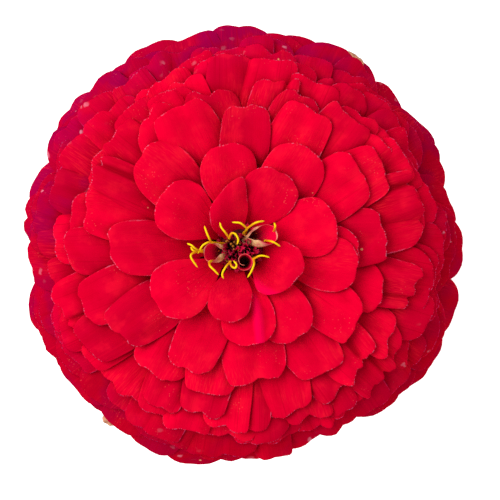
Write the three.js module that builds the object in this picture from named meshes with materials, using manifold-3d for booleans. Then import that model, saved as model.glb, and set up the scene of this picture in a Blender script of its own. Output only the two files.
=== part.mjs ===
// A potted zinnia: one fully double scarlet bloom on a leafy stem, in a plain clay pot of compost.
// Millimetres, +Z up. The origin is the centre of the pot's foot, on the surface that it stands on.
import * as THREE from "three";
import { mergeVertices } from "three/addons/utils/BufferGeometryUtils.js";
import Module from "manifold-3d";

const wasm = await Module();
wasm.setup();

// Driving dimensions of the pot and the compost.
const pot = {
  height: 92,
  footRadius: 33,
  collarZ: 68,
  collarRadius: 46,
  lipRadius: 50,
  rimRadius: 52,
  innerFootRadius: 29,
  innerCollarRadius: 41.5,
  innerRimRadius: 46.5,
  floorThickness: 6,
  drainRadius: 6,
  sides: 40,
};
const soil = { topZ: 82, gap: 0.4, crumbHeight: 0.9, moundHeight: 1.2, rings: 5 };

// Driving dimensions of the plant.
const stem = { radius: 2.7, neckRadius: 3.4, neckZ: 130, rootZ: 58, holeGap: 0.5, bend: 2.2, sides: 8 };
const leafShape = { thickness: 1, fold: 0.32, wave: 0.035, longest: 0.72 };
const cup = { height: 7, wall: 1.6, rise: 3.5, scaleThickness: 1.2, scaleFlare: 1.6 };
const bloom = { x: -1.5, y: -0.4, radius: 55, rimZ: 184, domeHeight: 31, seatGap: 0.4, styleGap: 0.35 };
const eye = { washerZ: 206.4, washerHeight: 0.9, washerInner: 2.6, washerOuter: 6.1, gap: 0.4, radius: 4.4 };

// The crowded feet of the rays are one solid body, under the dome that their tips lie on. Its
// outline is given as [radius, height] from the top down, then in along its underside.
const core = { topZ: 206, footRadius: 10, footZ: 173, sides: 24 };
const CORE_TOP = [[0, 206], [7, 206], [9.5, 207.5], [18, 207], [29, 203.5], [37, 198], [42, 190], [43, 186]];
const CORE_UNDERSIDE = [[38, 183.5], [core.footRadius, 181.5], [core.footRadius, core.footZ]];

// How a ray is shaped: its slope in degrees where it leaves the core and at its tip, by the eye
// and at the foot of the dome, and the rest as shares of its half width.
const rayShape = {
  thickness: 0.9,
  riseByEye: 62,
  riseAtFoot: 2,
  droopByEye: -4,
  droopAtFoot: 62,
  tipRounding: 0.6,
  channel: 0.3,
  crown: 0.16,
};

// The rays that show from above, in whorls from the eye outward: how far the tips reach from
// the bloom's axis, how wide the rays are, and the bearings of their tips in degrees from +X.
const WHORLS = [
  { reach: 13.5, width: 9.2, bearings: [105] },
  { reach: 15.5, width: 10.8, bearings: [328, 262] },
  { reach: 19, width: 12.6, bearings: [60] },
  { reach: 22.5, width: 12.8, bearings: [147, 269, 18, 217] },
  { reach: 24.5, width: 12, bearings: [98, 300] },
  { reach: 27.5, width: 12.8, bearings: [359, 345, 52] },
  { reach: 30, width: 13.8, bearings: [179, 246, 137] },
  { reach: 32, width: 14.4, bearings: [276, 331, 90] },
  { reach: 33.5, width: 14, bearings: [30, 112, 216, 4] },
  { reach: 35.5, width: 13.6, bearings: [64, 126, 305, 167, 257, 344] },
  { reach: 37, width: 14.2, bearings: [100, 154, 33, 236] },
  { reach: 39, width: 12.8, bearings: [77, 199, 316, 136, 113, 49, 182, 170, 152] },
  { reach: 41, width: 13.2, bearings: [262, 291, 346, 329, 304] },
  { reach: 42.5, width: 13.6, bearings: [275, 65, 18, 127, 6, 213] },
  { reach: 44, width: 13.4, bearings: [175, 90, 198, 160, 39, 244] },
  { reach: 45.5, width: 13.6, bearings: [314, 147, 351, 103, 265, 188, 225, 282] },
  { reach: 47, width: 14, bearings: [62, 79, 335, 303, 19] },
  { reach: 48.5, width: 14, bearings: [47, 168, 205, 0] },
  { reach: 50, width: 14.4, bearings: [252, 134, 117, 323, 234] },
];
// The rays of the rim make the outline. The rim is this share of the way down the dome.
const RIM = [
  { reach: 51.7, width: 14, bearings: [300, 292] },
  { reach: 53.5, width: 14.4, bearings: [353, 283, 272, 211, 184] },
  { reach: 54.5, width: 14.6, bearings: [310, 135, 159, 194, 220, 150, 233, 171] },
  { reach: 55.5, width: 15, bearings: [320, 14, 74, 25, 45, 35, 126, 105, 96, 203] },
  { reach: 56.3, width: 15.6, bearings: [88, 58, 330, 242, 259, 250, 143] },
  { reach: 57, width: 16, bearings: [2, 342, 117] },
];
// The skirt under the rim is placed by the golden angle: how far its rays reach and how far under
// the rim they sink run evenly from the first figure to the last.
const RIM_DOWN = 0.75;
const SKIRT = { count: 26, reach: [53.5, 44], sink: [4, 12], width: 13.5, firstBearing: 75 };

// The young rays still furled beside the eye: bearing and reach of each one's middle, its width
// and height, the degrees that it is rolled through and the bearing that it opens to.
const FURLED_RAYS = [
  { bearing: 192, reach: 6.2, width: 4.4, height: 6.5, arc: 250, opens: 10 },
  { bearing: 32, reach: 6.4, width: 5.2, height: 6.5, arc: 200, opens: 215 },
  { bearing: 289, reach: 3.9, width: 3.4, height: 6.5, arc: 320, opens: 70 },
];

// Each style, in millimetres east and north of the eye: where it forks, and the bend and the end
// of its two arms. A lone arm's partner lies behind a furled ray.
const STYLES = [
  { fork: [-9.6, -1.4], arms: [[[-10.1, -0.2], [-11.9, 0.9]], [[-11, -2.1], [-9.6, -4.6]]] },
  { fork: [-6.9, 0.9], arms: [[[-7.6, 2.7], [-8, 4.8]], [[-8.5, 0.5], [-9.6, -1.4]]] },
  { fork: [-2.5, 2.3], arms: [[[-3.7, 3.9], [-4.6, 5.5]], [[-1.4, 3.4], [-0.5, 1.4]]] },
  { fork: [1.6, 4.3], arms: [[[0.2, 5.5], [-1.8, 5.5]], [[3.2, 5.3], [5.5, 5.9]]] },
  { fork: [6.9, 3.4], arms: [[[7.8, 4.6], [7.9, 5.7]]] },
  { fork: [6.2, 1.4], arms: [[[7.8, 1.1], [9.4, 0]]] },
  { fork: [3, -2.9], arms: [[[4.6, -2.1], [6.9, -2.5]], [[3.2, -4.3], [1.8, -6.9]]] },
  { fork: [-2.1, -3.7], arms: [[[-3.7, -5], [-3.7, -7.1]], [[-1.1, -4.6], [-0.7, -3.7]]] },
  { fork: [-6.9, -3.2], arms: [[[-6.2, -4.8], [-4.6, -6.6]]] },
];
const styleShape = { footRadius: 0.48, forkRadius: 0.42, armRadius: 0.45, endRadius: 0.34, rise: 1.1 };

// The leaf pairs up the stem: height, bearing of the first leaf, length, width, and the blade's
// rise at the stem and droop at the tip in degrees.
const LEAF_PAIRS = [
  { z: 94, bearing: 20, length: 50, width: 21, rise: 40, droop: 24 },
  { z: 106, bearing: 112, length: 60, width: 26, rise: 38, droop: 34 },
  { z: 125, bearing: 28, length: 62, width: 27, rise: 36, droop: 36 },
  { z: 144, bearing: 118, length: 54, width: 24, rise: 24, droop: 34 },
];
// Each side shoot is two young leaves in the angle between a leaf and the stem.
const SIDE_SHOOTS = [
  { z: 107.5, bearing: 112, length: 17 },
  { z: 107.5, bearing: 292, length: 15 },
  { z: 126.5, bearing: 28, length: 14 },
  { z: 126.5, bearing: 208, length: 16 },
];
const youngLeaf = { rise: 62, droop: 5, widthShare: 0.42, spread: 28 };
// The rows of green scales on the cup under the bloom.
const SCALE_ROWS = [
  { count: 7, z: 167.5, radius: 9.4, length: 7, width: 8.5 },
  { count: 8, z: 172, radius: 10.8, length: 7.5, width: 9 },
];

const DEG = Math.PI / 180;
const GOLDEN_ANGLE = 137.508;

// A repeatable run of even draws from 0 to 1.
function makeRandom(seed) {
  let state = seed >>> 0;
  return () => {
    state = (Math.imul(state, 1664525) + 1013904223) >>> 0;
    return state / 4294967296;
  };
}

const mix = (a, b, share) => a + (b - a) * share;
const smooth = (x) => x * x * (3 - 2 * x);
const clamp01 = (x) => Math.min(Math.max(x, 0), 1);

// A closed geometry as a solid that can be cut and joined.
function solidOf(geometry) {
  const bare = new THREE.BufferGeometry();
  bare.setAttribute("position", geometry.getAttribute("position"));
  bare.setIndex(geometry.getIndex());
  const merged = mergeVertices(bare, 1e-4);
  const triVerts = new Uint32Array(merged.getIndex().array);
  const vertProperties = merged.getAttribute("position").array;
  const solid = new wasm.Manifold(new wasm.Mesh({ numProp: 3, vertProperties, triVerts }));
  if (solid.volume() > 0) return solid;
  for (let i = 0; i < triVerts.length; i += 3) {
    [triVerts[i + 1], triVerts[i + 2]] = [triVerts[i + 2], triVerts[i + 1]];
  }
  return new wasm.Manifold(new wasm.Mesh({ numProp: 3, vertProperties, triVerts }));
}

// The largest body of a solid, with its sealed hollows filled.
function outerBody(solid) {
  return solid.decompose().reduce((best, body) => (body.volume() > best.volume() ? body : best));
}

function joined(solids) {
  return outerBody(wasm.Manifold.union(solids));
}

function meshOf(name, solid, material) {
  const { vertProperties, triVerts } = solid.getMesh();
  const geometry = new THREE.BufferGeometry();
  geometry.setAttribute("position", new THREE.BufferAttribute(vertProperties, 3));
  geometry.setIndex(new THREE.BufferAttribute(triVerts, 1));
  geometry.computeVertexNormals();
  const mesh = new THREE.Mesh(geometry, material);
  mesh.name = name;
  return mesh;
}

// A lathe turned about +Z from a profile of [radius, height] points.
function turned(profile, sides) {
  const points = profile.map(([r, z]) => new THREE.Vector2(r, z));
  return new THREE.LatheGeometry(points, sides).rotateX(Math.PI / 2);
}

// A thin closed blade from a surface: both faces share the outline, and inside it they stand
// half a thickness off the surface. pointAt takes shares of the length and of the width.
function blade(pointAt, lengthShares, widthShares, thickness) {
  const rows = lengthShares.length;
  const columns = widthShares.length;
  const middle = lengthShares.map((u) => widthShares.map((v) => pointAt(u, v)));
  const positions = [];
  const put = (point) => positions.push(point.x, point.y, point.z) / 3 - 1;
  const upper = [];
  const lower = [];
  for (let i = 0; i < rows; i++) {
    upper.push([]);
    lower.push([]);
    for (let j = 0; j < columns; j++) {
      const onOutline = i === 0 || j === 0 || i === rows - 1 || j === columns - 1;
      if (onOutline) {
        upper[i].push(put(middle[i][j]));
        lower[i].push(upper[i][j]);
        continue;
      }
      const along = middle[i + 1][j].clone().sub(middle[i - 1][j]);
      const across = middle[i][j + 1].clone().sub(middle[i][j - 1]);
      const normal = along.cross(across).normalize().multiplyScalar(thickness / 2);
      upper[i].push(put(middle[i][j].clone().sub(normal)));
      lower[i].push(put(middle[i][j].clone().add(normal)));
    }
  }
  const index = [];
  for (let i = 0; i < rows - 1; i++) {
    for (let j = 0; j < columns - 1; j++) {
      // The diagonal leans towards the tip on both halves, so that the blade is even.
      const leansLeft = j < (columns - 1) / 2;
      for (const [face, flip] of [[upper, false], [lower, true]]) {
        const corners = [face[i][j], face[i + 1][j], face[i + 1][j + 1], face[i][j + 1]];
        const order = leansLeft ? [[0, 1, 2], [0, 2, 3]] : [[0, 1, 3], [1, 2, 3]];
        for (const [a, b, c] of order) {
          const triangle = [corners[a], corners[b], corners[c]];
          index.push(...(flip ? triangle.reverse() : triangle));
        }
      }
    }
  }
  const geometry = new THREE.BufferGeometry();
  geometry.setAttribute("position", new THREE.Float32BufferAttribute(positions, 3));
  geometry.setIndex(index);
  return geometry;
}

// A closed tube along points, with a radius at each, ending in flat caps.
function tube(points, radii, sides) {
  const positions = [];
  const index = [];
  const last = points.length - 1;
  let side = null;
  points.forEach((point, i) => {
    const along = points[Math.min(i + 1, last)].clone().sub(points[Math.max(i - 1, 0)]).normalize();
    if (!side) {
      const helper = Math.abs(along.z) < 0.9 ? new THREE.Vector3(0, 0, 1) : new THREE.Vector3(1, 0, 0);
      side = helper.cross(along).normalize();
    }
    side = side.sub(along.clone().multiplyScalar(side.dot(along))).normalize();
    const other = along.clone().cross(side);
    for (let k = 0; k < sides; k++) {
      const turn = (2 * Math.PI * k) / sides;
      const rim = point.clone();
      rim.addScaledVector(side, radii[i] * Math.cos(turn));
      rim.addScaledVector(other, radii[i] * Math.sin(turn));
      positions.push(rim.x, rim.y, rim.z);
    }
  });
  for (let i = 0; i < last; i++) {
    for (let k = 0; k < sides; k++) {
      const next = (k + 1) % sides;
      const [a, b] = [i * sides + k, i * sides + next];
      index.push(a, b, b + sides, a, b + sides, a + sides);
    }
  }
  for (let k = 1; k < sides - 1; k++) {
    index.push(0, k + 1, k);
    index.push(last * sides, last * sides + k, last * sides + k + 1);
  }
  const geometry = new THREE.BufferGeometry();
  geometry.setAttribute("position", new THREE.Float32BufferAttribute(positions, 3));
  geometry.setIndex(index);
  return geometry;
}

function makePot() {
  const profile = [
    [pot.drainRadius, 0],
    [pot.footRadius - 1.5, 0],
    [pot.footRadius, 1.5],
    [pot.collarRadius, pot.collarZ],
    [pot.lipRadius, pot.collarZ + 1],
    [pot.rimRadius, pot.height - 1.5],
    [pot.rimRadius - 1.5, pot.height],
    [pot.innerRimRadius, pot.height],
    [pot.innerCollarRadius, pot.collarZ],
    [pot.innerFootRadius, pot.floorThickness],
    [pot.drainRadius, pot.floorThickness],
    [pot.drainRadius, 0],
  ];
  return solidOf(turned(profile, pot.sides));
}

// Radius of the pot's inner wall at a height above its collar.
function innerWall(z) {
  return mix(pot.innerCollarRadius, pot.innerRimRadius, (z - pot.collarZ) / (pot.height - pot.collarZ));
}

// The compost: its top is raised in crumbs by a formula, and a plain hole takes the stem.
function makeSoil() {
  const holeRadius = stem.radius + stem.holeGap;
  const edgeRadius = innerWall(soil.topZ) - soil.gap;
  const profile = [[0, stem.rootZ - stem.holeGap], [holeRadius, stem.rootZ - stem.holeGap]];
  for (let i = 0; i <= soil.rings; i++) {
    profile.push([mix(holeRadius, edgeRadius, i / soil.rings), soil.topZ]);
  }
  profile.push([pot.innerCollarRadius - soil.gap, pot.collarZ]);
  profile.push([pot.innerFootRadius - soil.gap, pot.floorThickness + soil.gap]);
  profile.push([0, pot.floorThickness + soil.gap]);
  const geometry = turned(profile, pot.sides);
  const position = geometry.getAttribute("position");
  for (let i = 0; i < position.count; i++) {
    const [x, y, z] = [position.getX(i), position.getY(i), position.getZ(i)];
    const r = Math.hypot(x, y);
    if (Math.abs(z - soil.topZ) > 0.01 || r > edgeRadius - 0.01) continue;
    const crumb = Math.sin(0.9 * x + 1.7 * y) * Math.cos(1.3 * x - 0.8 * y + 2) + Math.sin(2.3 * x) * 0.4;
    const mound = Math.cos((r / edgeRadius) * Math.PI * 0.5);
    position.setZ(i, z + soil.crumbHeight * crumb + soil.moundHeight * mound);
  }
  return solidOf(geometry);
}

// The stem leans from the pot's centre to the bloom's, with a slow bend.
function stemPoint(z) {
  const share = clamp01((z - soil.topZ) / (core.footZ - soil.topZ));
  const bend = Math.sin(share * Math.PI) * stem.bend;
  return new THREE.Vector3(bloom.x * share + bend, bloom.y * share - bend * 0.5, z);
}

// A leaf without a stalk: a broad, pointed blade that clasps the stem, rises and arches over.
function leafGeometry(leaf, lengthShares, widthShares) {
  const base = stemPoint(leaf.z);
  const outward = new THREE.Vector3(Math.cos(leaf.bearing * DEG), Math.sin(leaf.bearing * DEG), 0);
  const across = new THREE.Vector3(-outward.y, outward.x, 0);
  const up = new THREE.Vector3(0, 0, 1);
  const spine = (t) => {
    // The blade's slope turns evenly from its rise at the stem to its droop at the tip.
    const steps = 12;
    const point = base.clone();
    for (let k = 0; k < steps; k++) {
      const slope = mix(leaf.rise, -leaf.droop, ((k + 0.5) / steps) * t) * DEG;
      const step = (leaf.length * t) / steps;
      point.addScaledVector(outward, Math.cos(slope) * step).addScaledVector(up, Math.sin(slope) * step);
    }
    return point;
  };
  const halfWidth = (t) => {
    const swell = Math.sin(Math.PI * Math.pow(0.1 + 0.9 * t, leafShape.longest));
    return (leaf.width / 2) * Math.max(Math.pow(Math.max(swell, 0), 0.85), 0.02);
  };
  const pointAt = (t, v) => {
    const point = spine(t);
    const reach = v * halfWidth(t);
    const fold = Math.abs(v) * halfWidth(t) * leafShape.fold;
    const wave = v * Math.sin(t * 9 + leaf.bearing) * leaf.width * leafShape.wave;
    return point.addScaledVector(across, reach).addScaledVector(up, fold + wave);
  };
  return blade(pointAt, lengthShares, widthShares, leafShape.thickness);
}

// The green cup of overlapping scales that holds the bloom from below.
function makeScales() {
  const middle = stemPoint(core.footZ);
  return SCALE_ROWS.flatMap((row, rowIndex) =>
    Array.from({ length: row.count }, (_, k) => {
      const bearing = ((k + 0.5 * rowIndex) / row.count) * 2 * Math.PI;
      const outward = new THREE.Vector3(Math.cos(bearing), Math.sin(bearing), 0);
      const across = new THREE.Vector3(-outward.y, outward.x, 0);
      const pointAt = (t, v) => {
        const narrowing = Math.pow(Math.max(t - 0.35, 0) / 0.68, 2);
        const half = (row.width / 2) * Math.sqrt(Math.max(1 - narrowing, 0.02));
        const bow = half * v * v * 0.35;
        const flare = cup.scaleFlare * smooth(t);
        return new THREE.Vector3(middle.x, middle.y, row.z + row.length * (t - 0.15))
          .addScaledVector(outward, row.radius + flare - bow)
          .addScaledVector(across, v * half);
      };
      return solidOf(blade(pointAt, [0, 0.6, 1], [-1, 0, 1], cup.scaleThickness));
    }),
  );
}

function makeLeafyStem() {
  const path = [];
  const radii = [];
  const steps = 9;
  const cupZ = core.footZ - cup.height;
  for (let i = 0; i <= steps; i++) {
    const z = mix(stem.rootZ, cupZ, i / steps);
    path.push(stemPoint(z));
    radii.push(mix(stem.radius, stem.neckRadius, clamp01((z - stem.neckZ) / (cupZ - stem.neckZ))));
  }
  const parts = [solidOf(tube(path, radii, stem.sides))];
  const longShares = [0, 0.14, 0.32, 0.52, 0.72, 0.88, 1];
  const shortShares = [0, 0.4, 0.75, 1];
  for (const pair of LEAF_PAIRS) {
    for (const bearing of [pair.bearing, pair.bearing + 180]) {
      parts.push(solidOf(leafGeometry({ ...pair, bearing }, longShares, [-1, -0.5, 0, 0.5, 1])));
    }
  }
  for (const shoot of SIDE_SHOOTS) {
    for (const side of [-1, 1]) {
      const bearing = shoot.bearing + side * youngLeaf.spread;
      const leaf = { ...youngLeaf, ...shoot, bearing, width: shoot.length * youngLeaf.widthShare };
      parts.push(solidOf(leafGeometry(leaf, shortShares, [-1, 0, 1])));
    }
  }
  const foot = stemPoint(core.footZ);
  const cupProfile = [
    [0, cupZ - 1],
    [stem.neckRadius, cupZ - 1],
    [core.footRadius - 3, core.footZ - cup.height * 0.65],
    [core.footRadius + 0.4, core.footZ - 1],
    [core.footRadius + cup.wall, core.footZ + cup.rise],
    [0, core.footZ + cup.rise],
  ];
  parts.push(solidOf(turned(cupProfile, 16).translate(foot.x, foot.y, 0)));
  parts.push(...makeScales());
  // The bloom's foot stands in a socket in the cup.
  const seatRadius = core.footRadius + bloom.seatGap;
  const seatZ = core.footZ - bloom.seatGap;
  const seatTopZ = core.topZ;
  const seatProfile = [[0, seatZ], [seatRadius, seatZ], [seatRadius, seatTopZ], [0, seatTopZ]];
  const seat = solidOf(turned(seatProfile, core.sides).translate(bloom.x, bloom.y, 0));
  return outerBody(joined(parts).subtract(seat));
}

// Height of the core's top at a distance from its axis.
function coreTopAt(r) {
  const outer = CORE_TOP.findIndex(([radius]) => radius >= r);
  if (outer < 1) return outer === 0 ? core.topZ : -Infinity;
  const [[r0, z0], [r1, z1]] = [CORE_TOP[outer - 1], CORE_TOP[outer]];
  return mix(z0, z1, (r - r0) / (r1 - r0));
}

// The share of a ray's length up to which the core hides it, by the depth that it is sunk.
function hiddenShare(surface) {
  const sunk = 1;
  let hidden = 0;
  for (let share = 0.05; share < 0.7; share += 0.05) {
    const inside = [-1, 0, 1].every((v) => {
      const point = surface(share, v);
      const topZ = coreTopAt(Math.hypot(point.x - bloom.x, point.y - bloom.y));
      return point.z < topZ - sunk && point.z > CORE_UNDERSIDE[0][1] + sunk;
    });
    if (!inside) break;
    hidden = share;
  }
  return hidden;
}

// Every ray of the bloom, with its small seeded differences.
function listRays() {
  const random = makeRandom(7);
  const rays = [];
  for (const whorl of [...WHORLS, ...RIM]) {
    const share = Math.min(whorl.reach / bloom.radius, 1);
    const level = Math.sqrt(1 - share * share);
    for (const bearing of whorl.bearings) {
      const sink = RIM.includes(whorl) ? mix(-3, 3, random()) : 0;
      const tipZ = bloom.rimZ + bloom.domeHeight * level - sink;
      rays.push({ ...whorl, bearing, tipZ, down: RIM_DOWN * (1 - level) });
    }
  }
  for (let k = 0; k < SKIRT.count; k++) {
    const share = k / (SKIRT.count - 1);
    rays.push({
      bearing: SKIRT.firstBearing + GOLDEN_ANGLE * k,
      reach: mix(SKIRT.reach[0], SKIRT.reach[1], share),
      tipZ: bloom.rimZ - mix(SKIRT.sink[0], SKIRT.sink[1], share),
      width: SKIRT.width,
      down: mix(RIM_DOWN, 1, share),
    });
  }
  return rays.map((ray) => ({
    ...ray,
    roll: mix(5, 8, random()),
    tipTurn: mix(-4, 4, random()),
    notch: mix(0.05, 0.25, random()),
    arch: mix(0.9, 1.1, random()),
  }));
}

// A ray springs from the core and arches outward, steeply by the eye and low down at the rim,
// and its tip droops the more the further down the dome it lies (0 at the eye, 1 at the foot).
// Its surface is a function of a share u of its length and a share v of its half width.
function raySurface(ray) {
  const { down } = ray;
  const tip = new THREE.Vector2(ray.reach, ray.tipZ);
  const base = new THREE.Vector2(
    mix(eye.washerOuter + 1.1, core.footRadius - 2, Math.pow(down, 0.6)),
    mix(core.topZ - 1.5, core.footZ + 8, Math.pow(down, 0.85)),
  );
  const span = base.distanceTo(tip);
  const rise = mix(rayShape.riseByEye, rayShape.riseAtFoot, Math.pow(down, 0.55)) * DEG;
  const drooping = smooth(clamp01(down / 0.9));
  const droop = (mix(rayShape.droopByEye, rayShape.droopAtFoot, drooping) + ray.tipTurn) * DEG;
  const handle = span * 0.37 * ray.arch;
  const first = new THREE.Vector2(Math.cos(rise), Math.sin(rise)).multiplyScalar(handle);
  const second = new THREE.Vector2(-Math.cos(droop), Math.sin(droop)).multiplyScalar(handle);
  const curve = new THREE.CubicBezierCurve(base, base.clone().add(first), tip.clone().add(second), tip);
  const bearing = ray.bearing * DEG;
  const outward = new THREE.Vector3(Math.cos(bearing), Math.sin(bearing), 0);
  const across = new THREE.Vector3(-outward.y, outward.x, 0);
  const up = new THREE.Vector3(0, 0, 1);
  const middle = new THREE.Vector3(bloom.x, bloom.y, 0);
  const roll = ray.roll * DEG;
  const slenderness = ray.width / 2 / curve.getLength();
  return (u, v) => {
    const rounding = rayShape.tipRounding * Math.pow(Math.abs(v), 2.4);
    const notch = ray.notch * Math.exp(-Math.pow(v / 0.22, 2));
    const t = u * (1 - (rounding + notch) * slenderness);
    const here = curve.getPoint(t);
    const heading = curve.getTangent(t);
    const swell = 0.2 + 0.8 * smooth(clamp01(t / 0.68)) - 0.1 * smooth(clamp01((t - 0.72) / 0.28));
    const half = (ray.width / 2) * swell;
    const channel = rayShape.channel * half * v * v * (1 - smooth(clamp01(t / 0.7)));
    const crown = rayShape.crown * half * v * v * smooth(clamp01((t - 0.35) / 0.65));
    const normal = outward.clone().multiplyScalar(-heading.y).addScaledVector(up, heading.x);
    const sideways = across.clone().multiplyScalar(Math.cos(roll)).addScaledVector(normal, Math.sin(roll));
    return middle
      .clone()
      .addScaledVector(outward, here.x)
      .addScaledVector(up, here.y)
      .addScaledVector(sideways, v * half)
      .addScaledVector(normal, channel - crown);
  };
}

// A place above the eye, from how far it lies east and north of it.
function aboveEye([east, north], z) {
  return new THREE.Vector3(bloom.x + east, bloom.y + north, z);
}

// A young ray, rolled into a cup that widens upward, as a closed thin wall.
function furledRay(furled, footZ, footReach) {
  const bearing = furled.bearing * DEG;
  const wall = 0.6;
  const pointOn = (t, v) => {
    const radius = mix(furled.width * 0.22, furled.width * 0.5, smooth(t));
    const turn = (furled.opens + 180) * DEG + (v * furled.arc * DEG) / 2;
    const out = mix(footReach, furled.reach, Math.pow(t, 0.8));
    return new THREE.Vector3(
      bloom.x + Math.cos(bearing) * out + Math.cos(turn) * radius,
      bloom.y + Math.sin(bearing) * out + Math.sin(turn) * radius,
      footZ + furled.height * t,
    );
  };
  return blade(pointOn, [0, 0.33, 0.66, 1], [-1, -0.62, -0.25, 0.12, 0.5, 1], wall);
}

function makeRays() {
  const profile = [...CORE_TOP, ...CORE_UNDERSIDE, [0, core.footZ]];
  const parts = [solidOf(turned(profile, core.sides).translate(bloom.x, bloom.y, 0))];
  for (const ray of listRays()) {
    const surface = raySurface(ray);
    const start = hiddenShare(surface);
    const lengthShares = [start, mix(start, 1, 0.62), 1];
    parts.push(solidOf(blade(surface, lengthShares, [-1, -0.45, 0.45, 1], rayShape.thickness)));
  }
  return clearOfStyles(joined(parts));
}

// The crimson heart: a low dome bristling with the fringed bracts of the disc, with the three
// young rays that rise from its edge.
function makeHeart() {
  const floorZ = eye.washerZ + eye.washerHeight + eye.gap;
  const profile = [
    [0, floorZ],
    [eye.radius, floorZ],
    [eye.radius * 0.95, floorZ + 1],
    [eye.radius * 0.6, floorZ + 2.6],
    [0, floorZ + 3.2],
  ];
  const parts = [solidOf(turned(profile, 14).translate(bloom.x, bloom.y, 0))];
  const bracts = 18;
  for (let k = 0; k < bracts; k++) {
    const share = Math.sqrt((k + 0.5) / bracts);
    const bearing = GOLDEN_ANGLE * DEG * k;
    const outward = new THREE.Vector3(Math.cos(bearing), Math.sin(bearing), 0);
    const foot = new THREE.Vector3(bloom.x, bloom.y, floorZ + mix(2.2, 0.5, share));
    foot.addScaledVector(outward, share * eye.radius * 0.85);
    const tip = foot.clone().addScaledVector(outward, 0.7 * share + 0.2);
    tip.z += mix(2.6, 2.9, share);
    parts.push(solidOf(tube([foot, tip], [0.55, 0.12], 3)));
  }
  for (const furled of FURLED_RAYS) {
    parts.push(solidOf(furledRay(furled, floorZ + 0.2, eye.radius * 0.75)));
  }
  return clearOfStyles(joined(parts));
}

// The forked yellow styles and the ring of tiny yellow disc florets that they stand in, as
// separate solids, each swollen by a clearance.
function styleSolids(clearance) {
  const inner = eye.washerInner - clearance;
  const outer = eye.washerOuter + clearance;
  const bottom = eye.washerZ - clearance;
  const top = eye.washerZ + eye.washerHeight + clearance;
  const profile = [[inner, bottom], [outer, bottom], [outer, top], [inner, top], [inner, bottom]];
  const parts = [solidOf(turned(profile, 20).translate(bloom.x, bloom.y, 0))];
  const forkZ = bloom.rimZ + bloom.domeHeight + 0.6;
  const { footRadius, forkRadius, armRadius, endRadius } = styleShape;
  const swollen = (radii) => radii.map((radius) => radius + clearance);
  for (const style of STYLES) {
    const fork = aboveEye(style.fork, forkZ);
    const bearing = Math.atan2(style.fork[1], style.fork[0]);
    const footReach = eye.washerOuter - 0.65;
    const foot = new THREE.Vector3(
      bloom.x + Math.cos(bearing) * footReach,
      bloom.y + Math.sin(bearing) * footReach,
      eye.washerZ + eye.washerHeight - 0.4,
    );
    const shoulder = foot.clone().lerp(fork, 0.35);
    shoulder.z = mix(foot.z, fork.z, 0.7);
    parts.push(solidOf(tube([foot, shoulder, fork], swollen([footRadius, armRadius, forkRadius]), 3)));
    for (const [bend, end] of style.arms) {
      const points = [fork.clone(), aboveEye(bend, forkZ + styleShape.rise), aboveEye(end, forkZ + 0.4)];
      parts.push(solidOf(tube(points, swollen([forkRadius, armRadius, endRadius]), 3)));
    }
  }
  return parts;
}

// Room for the styles, cut from what they pass.
function clearOfStyles(solid) {
  return outerBody(solid.subtract(wasm.Manifold.union(styleSolids(bloom.styleGap))));
}

const clay = new THREE.MeshStandardMaterial({ color: 0xb5673f, roughness: 0.85, metalness: 0 });
const compost = new THREE.MeshStandardMaterial({ color: 0x33251b, roughness: 1, metalness: 0 });
const green = new THREE.MeshStandardMaterial({ color: 0x4c7a2e, roughness: 0.6, metalness: 0 });
const scarlet = new THREE.MeshStandardMaterial({ color: 0xe60a2c, roughness: 0.55, metalness: 0 });
const crimson = new THREE.MeshStandardMaterial({ color: 0x8e0c24, roughness: 0.6, metalness: 0 });
const yellow = new THREE.MeshStandardMaterial({ color: 0xf5c400, roughness: 0.5, metalness: 0 });

const plant = new THREE.Group();
plant.add(meshOf("pot", makePot(), clay));
plant.add(meshOf("soil", makeSoil(), compost));
plant.add(meshOf("leafy_stem", makeLeafyStem(), green));
plant.add(meshOf("bloom_rays", makeRays(), scarlet));
plant.add(meshOf("disc_heart", makeHeart(), crimson));
plant.add(meshOf("yellow_styles", joined(styleSolids(0)), yellow));

export default plant;
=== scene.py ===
"""The looks of a potted zinnia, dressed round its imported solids.

Lengths are in millimetres, and each mesh is scaled to metres as it is made. Every piece keeps
the layout of the solid that it stands for: the rays, styles, leaves and scales are listed or
placed by the same rule. Here they are made finer, and more rays lie between those of the solids.
A listed bearing is in degrees from +X.
"""

import math

import bpy
import numpy as np
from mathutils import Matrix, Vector, noise


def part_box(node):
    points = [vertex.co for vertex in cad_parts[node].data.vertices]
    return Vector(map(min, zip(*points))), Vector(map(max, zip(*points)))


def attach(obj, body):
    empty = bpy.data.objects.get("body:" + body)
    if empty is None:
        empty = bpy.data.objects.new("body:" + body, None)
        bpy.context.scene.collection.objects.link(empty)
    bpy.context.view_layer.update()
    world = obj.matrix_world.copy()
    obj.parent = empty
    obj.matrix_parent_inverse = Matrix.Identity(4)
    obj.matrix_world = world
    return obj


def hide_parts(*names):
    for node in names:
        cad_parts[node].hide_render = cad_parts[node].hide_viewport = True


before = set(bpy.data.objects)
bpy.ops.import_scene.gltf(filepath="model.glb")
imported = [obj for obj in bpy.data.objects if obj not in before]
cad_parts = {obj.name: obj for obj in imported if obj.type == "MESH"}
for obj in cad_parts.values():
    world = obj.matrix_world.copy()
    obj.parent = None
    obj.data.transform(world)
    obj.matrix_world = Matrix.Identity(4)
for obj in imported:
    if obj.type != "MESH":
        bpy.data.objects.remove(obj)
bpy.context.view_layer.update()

MM = 0.001
UP = np.array([0.0, 0.0, 1.0])
GOLDEN_ANGLE = math.radians(137.508)


def box_mm(node):
    """Lowest and highest corner of a solid, in millimetres."""
    low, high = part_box(node)
    return np.array(low) / MM, np.array(high) / MM


def radius_mm(node):
    """Half the width of a round solid."""
    low, high = box_mm(node)
    return (high[0] - low[0]) / 2


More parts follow.
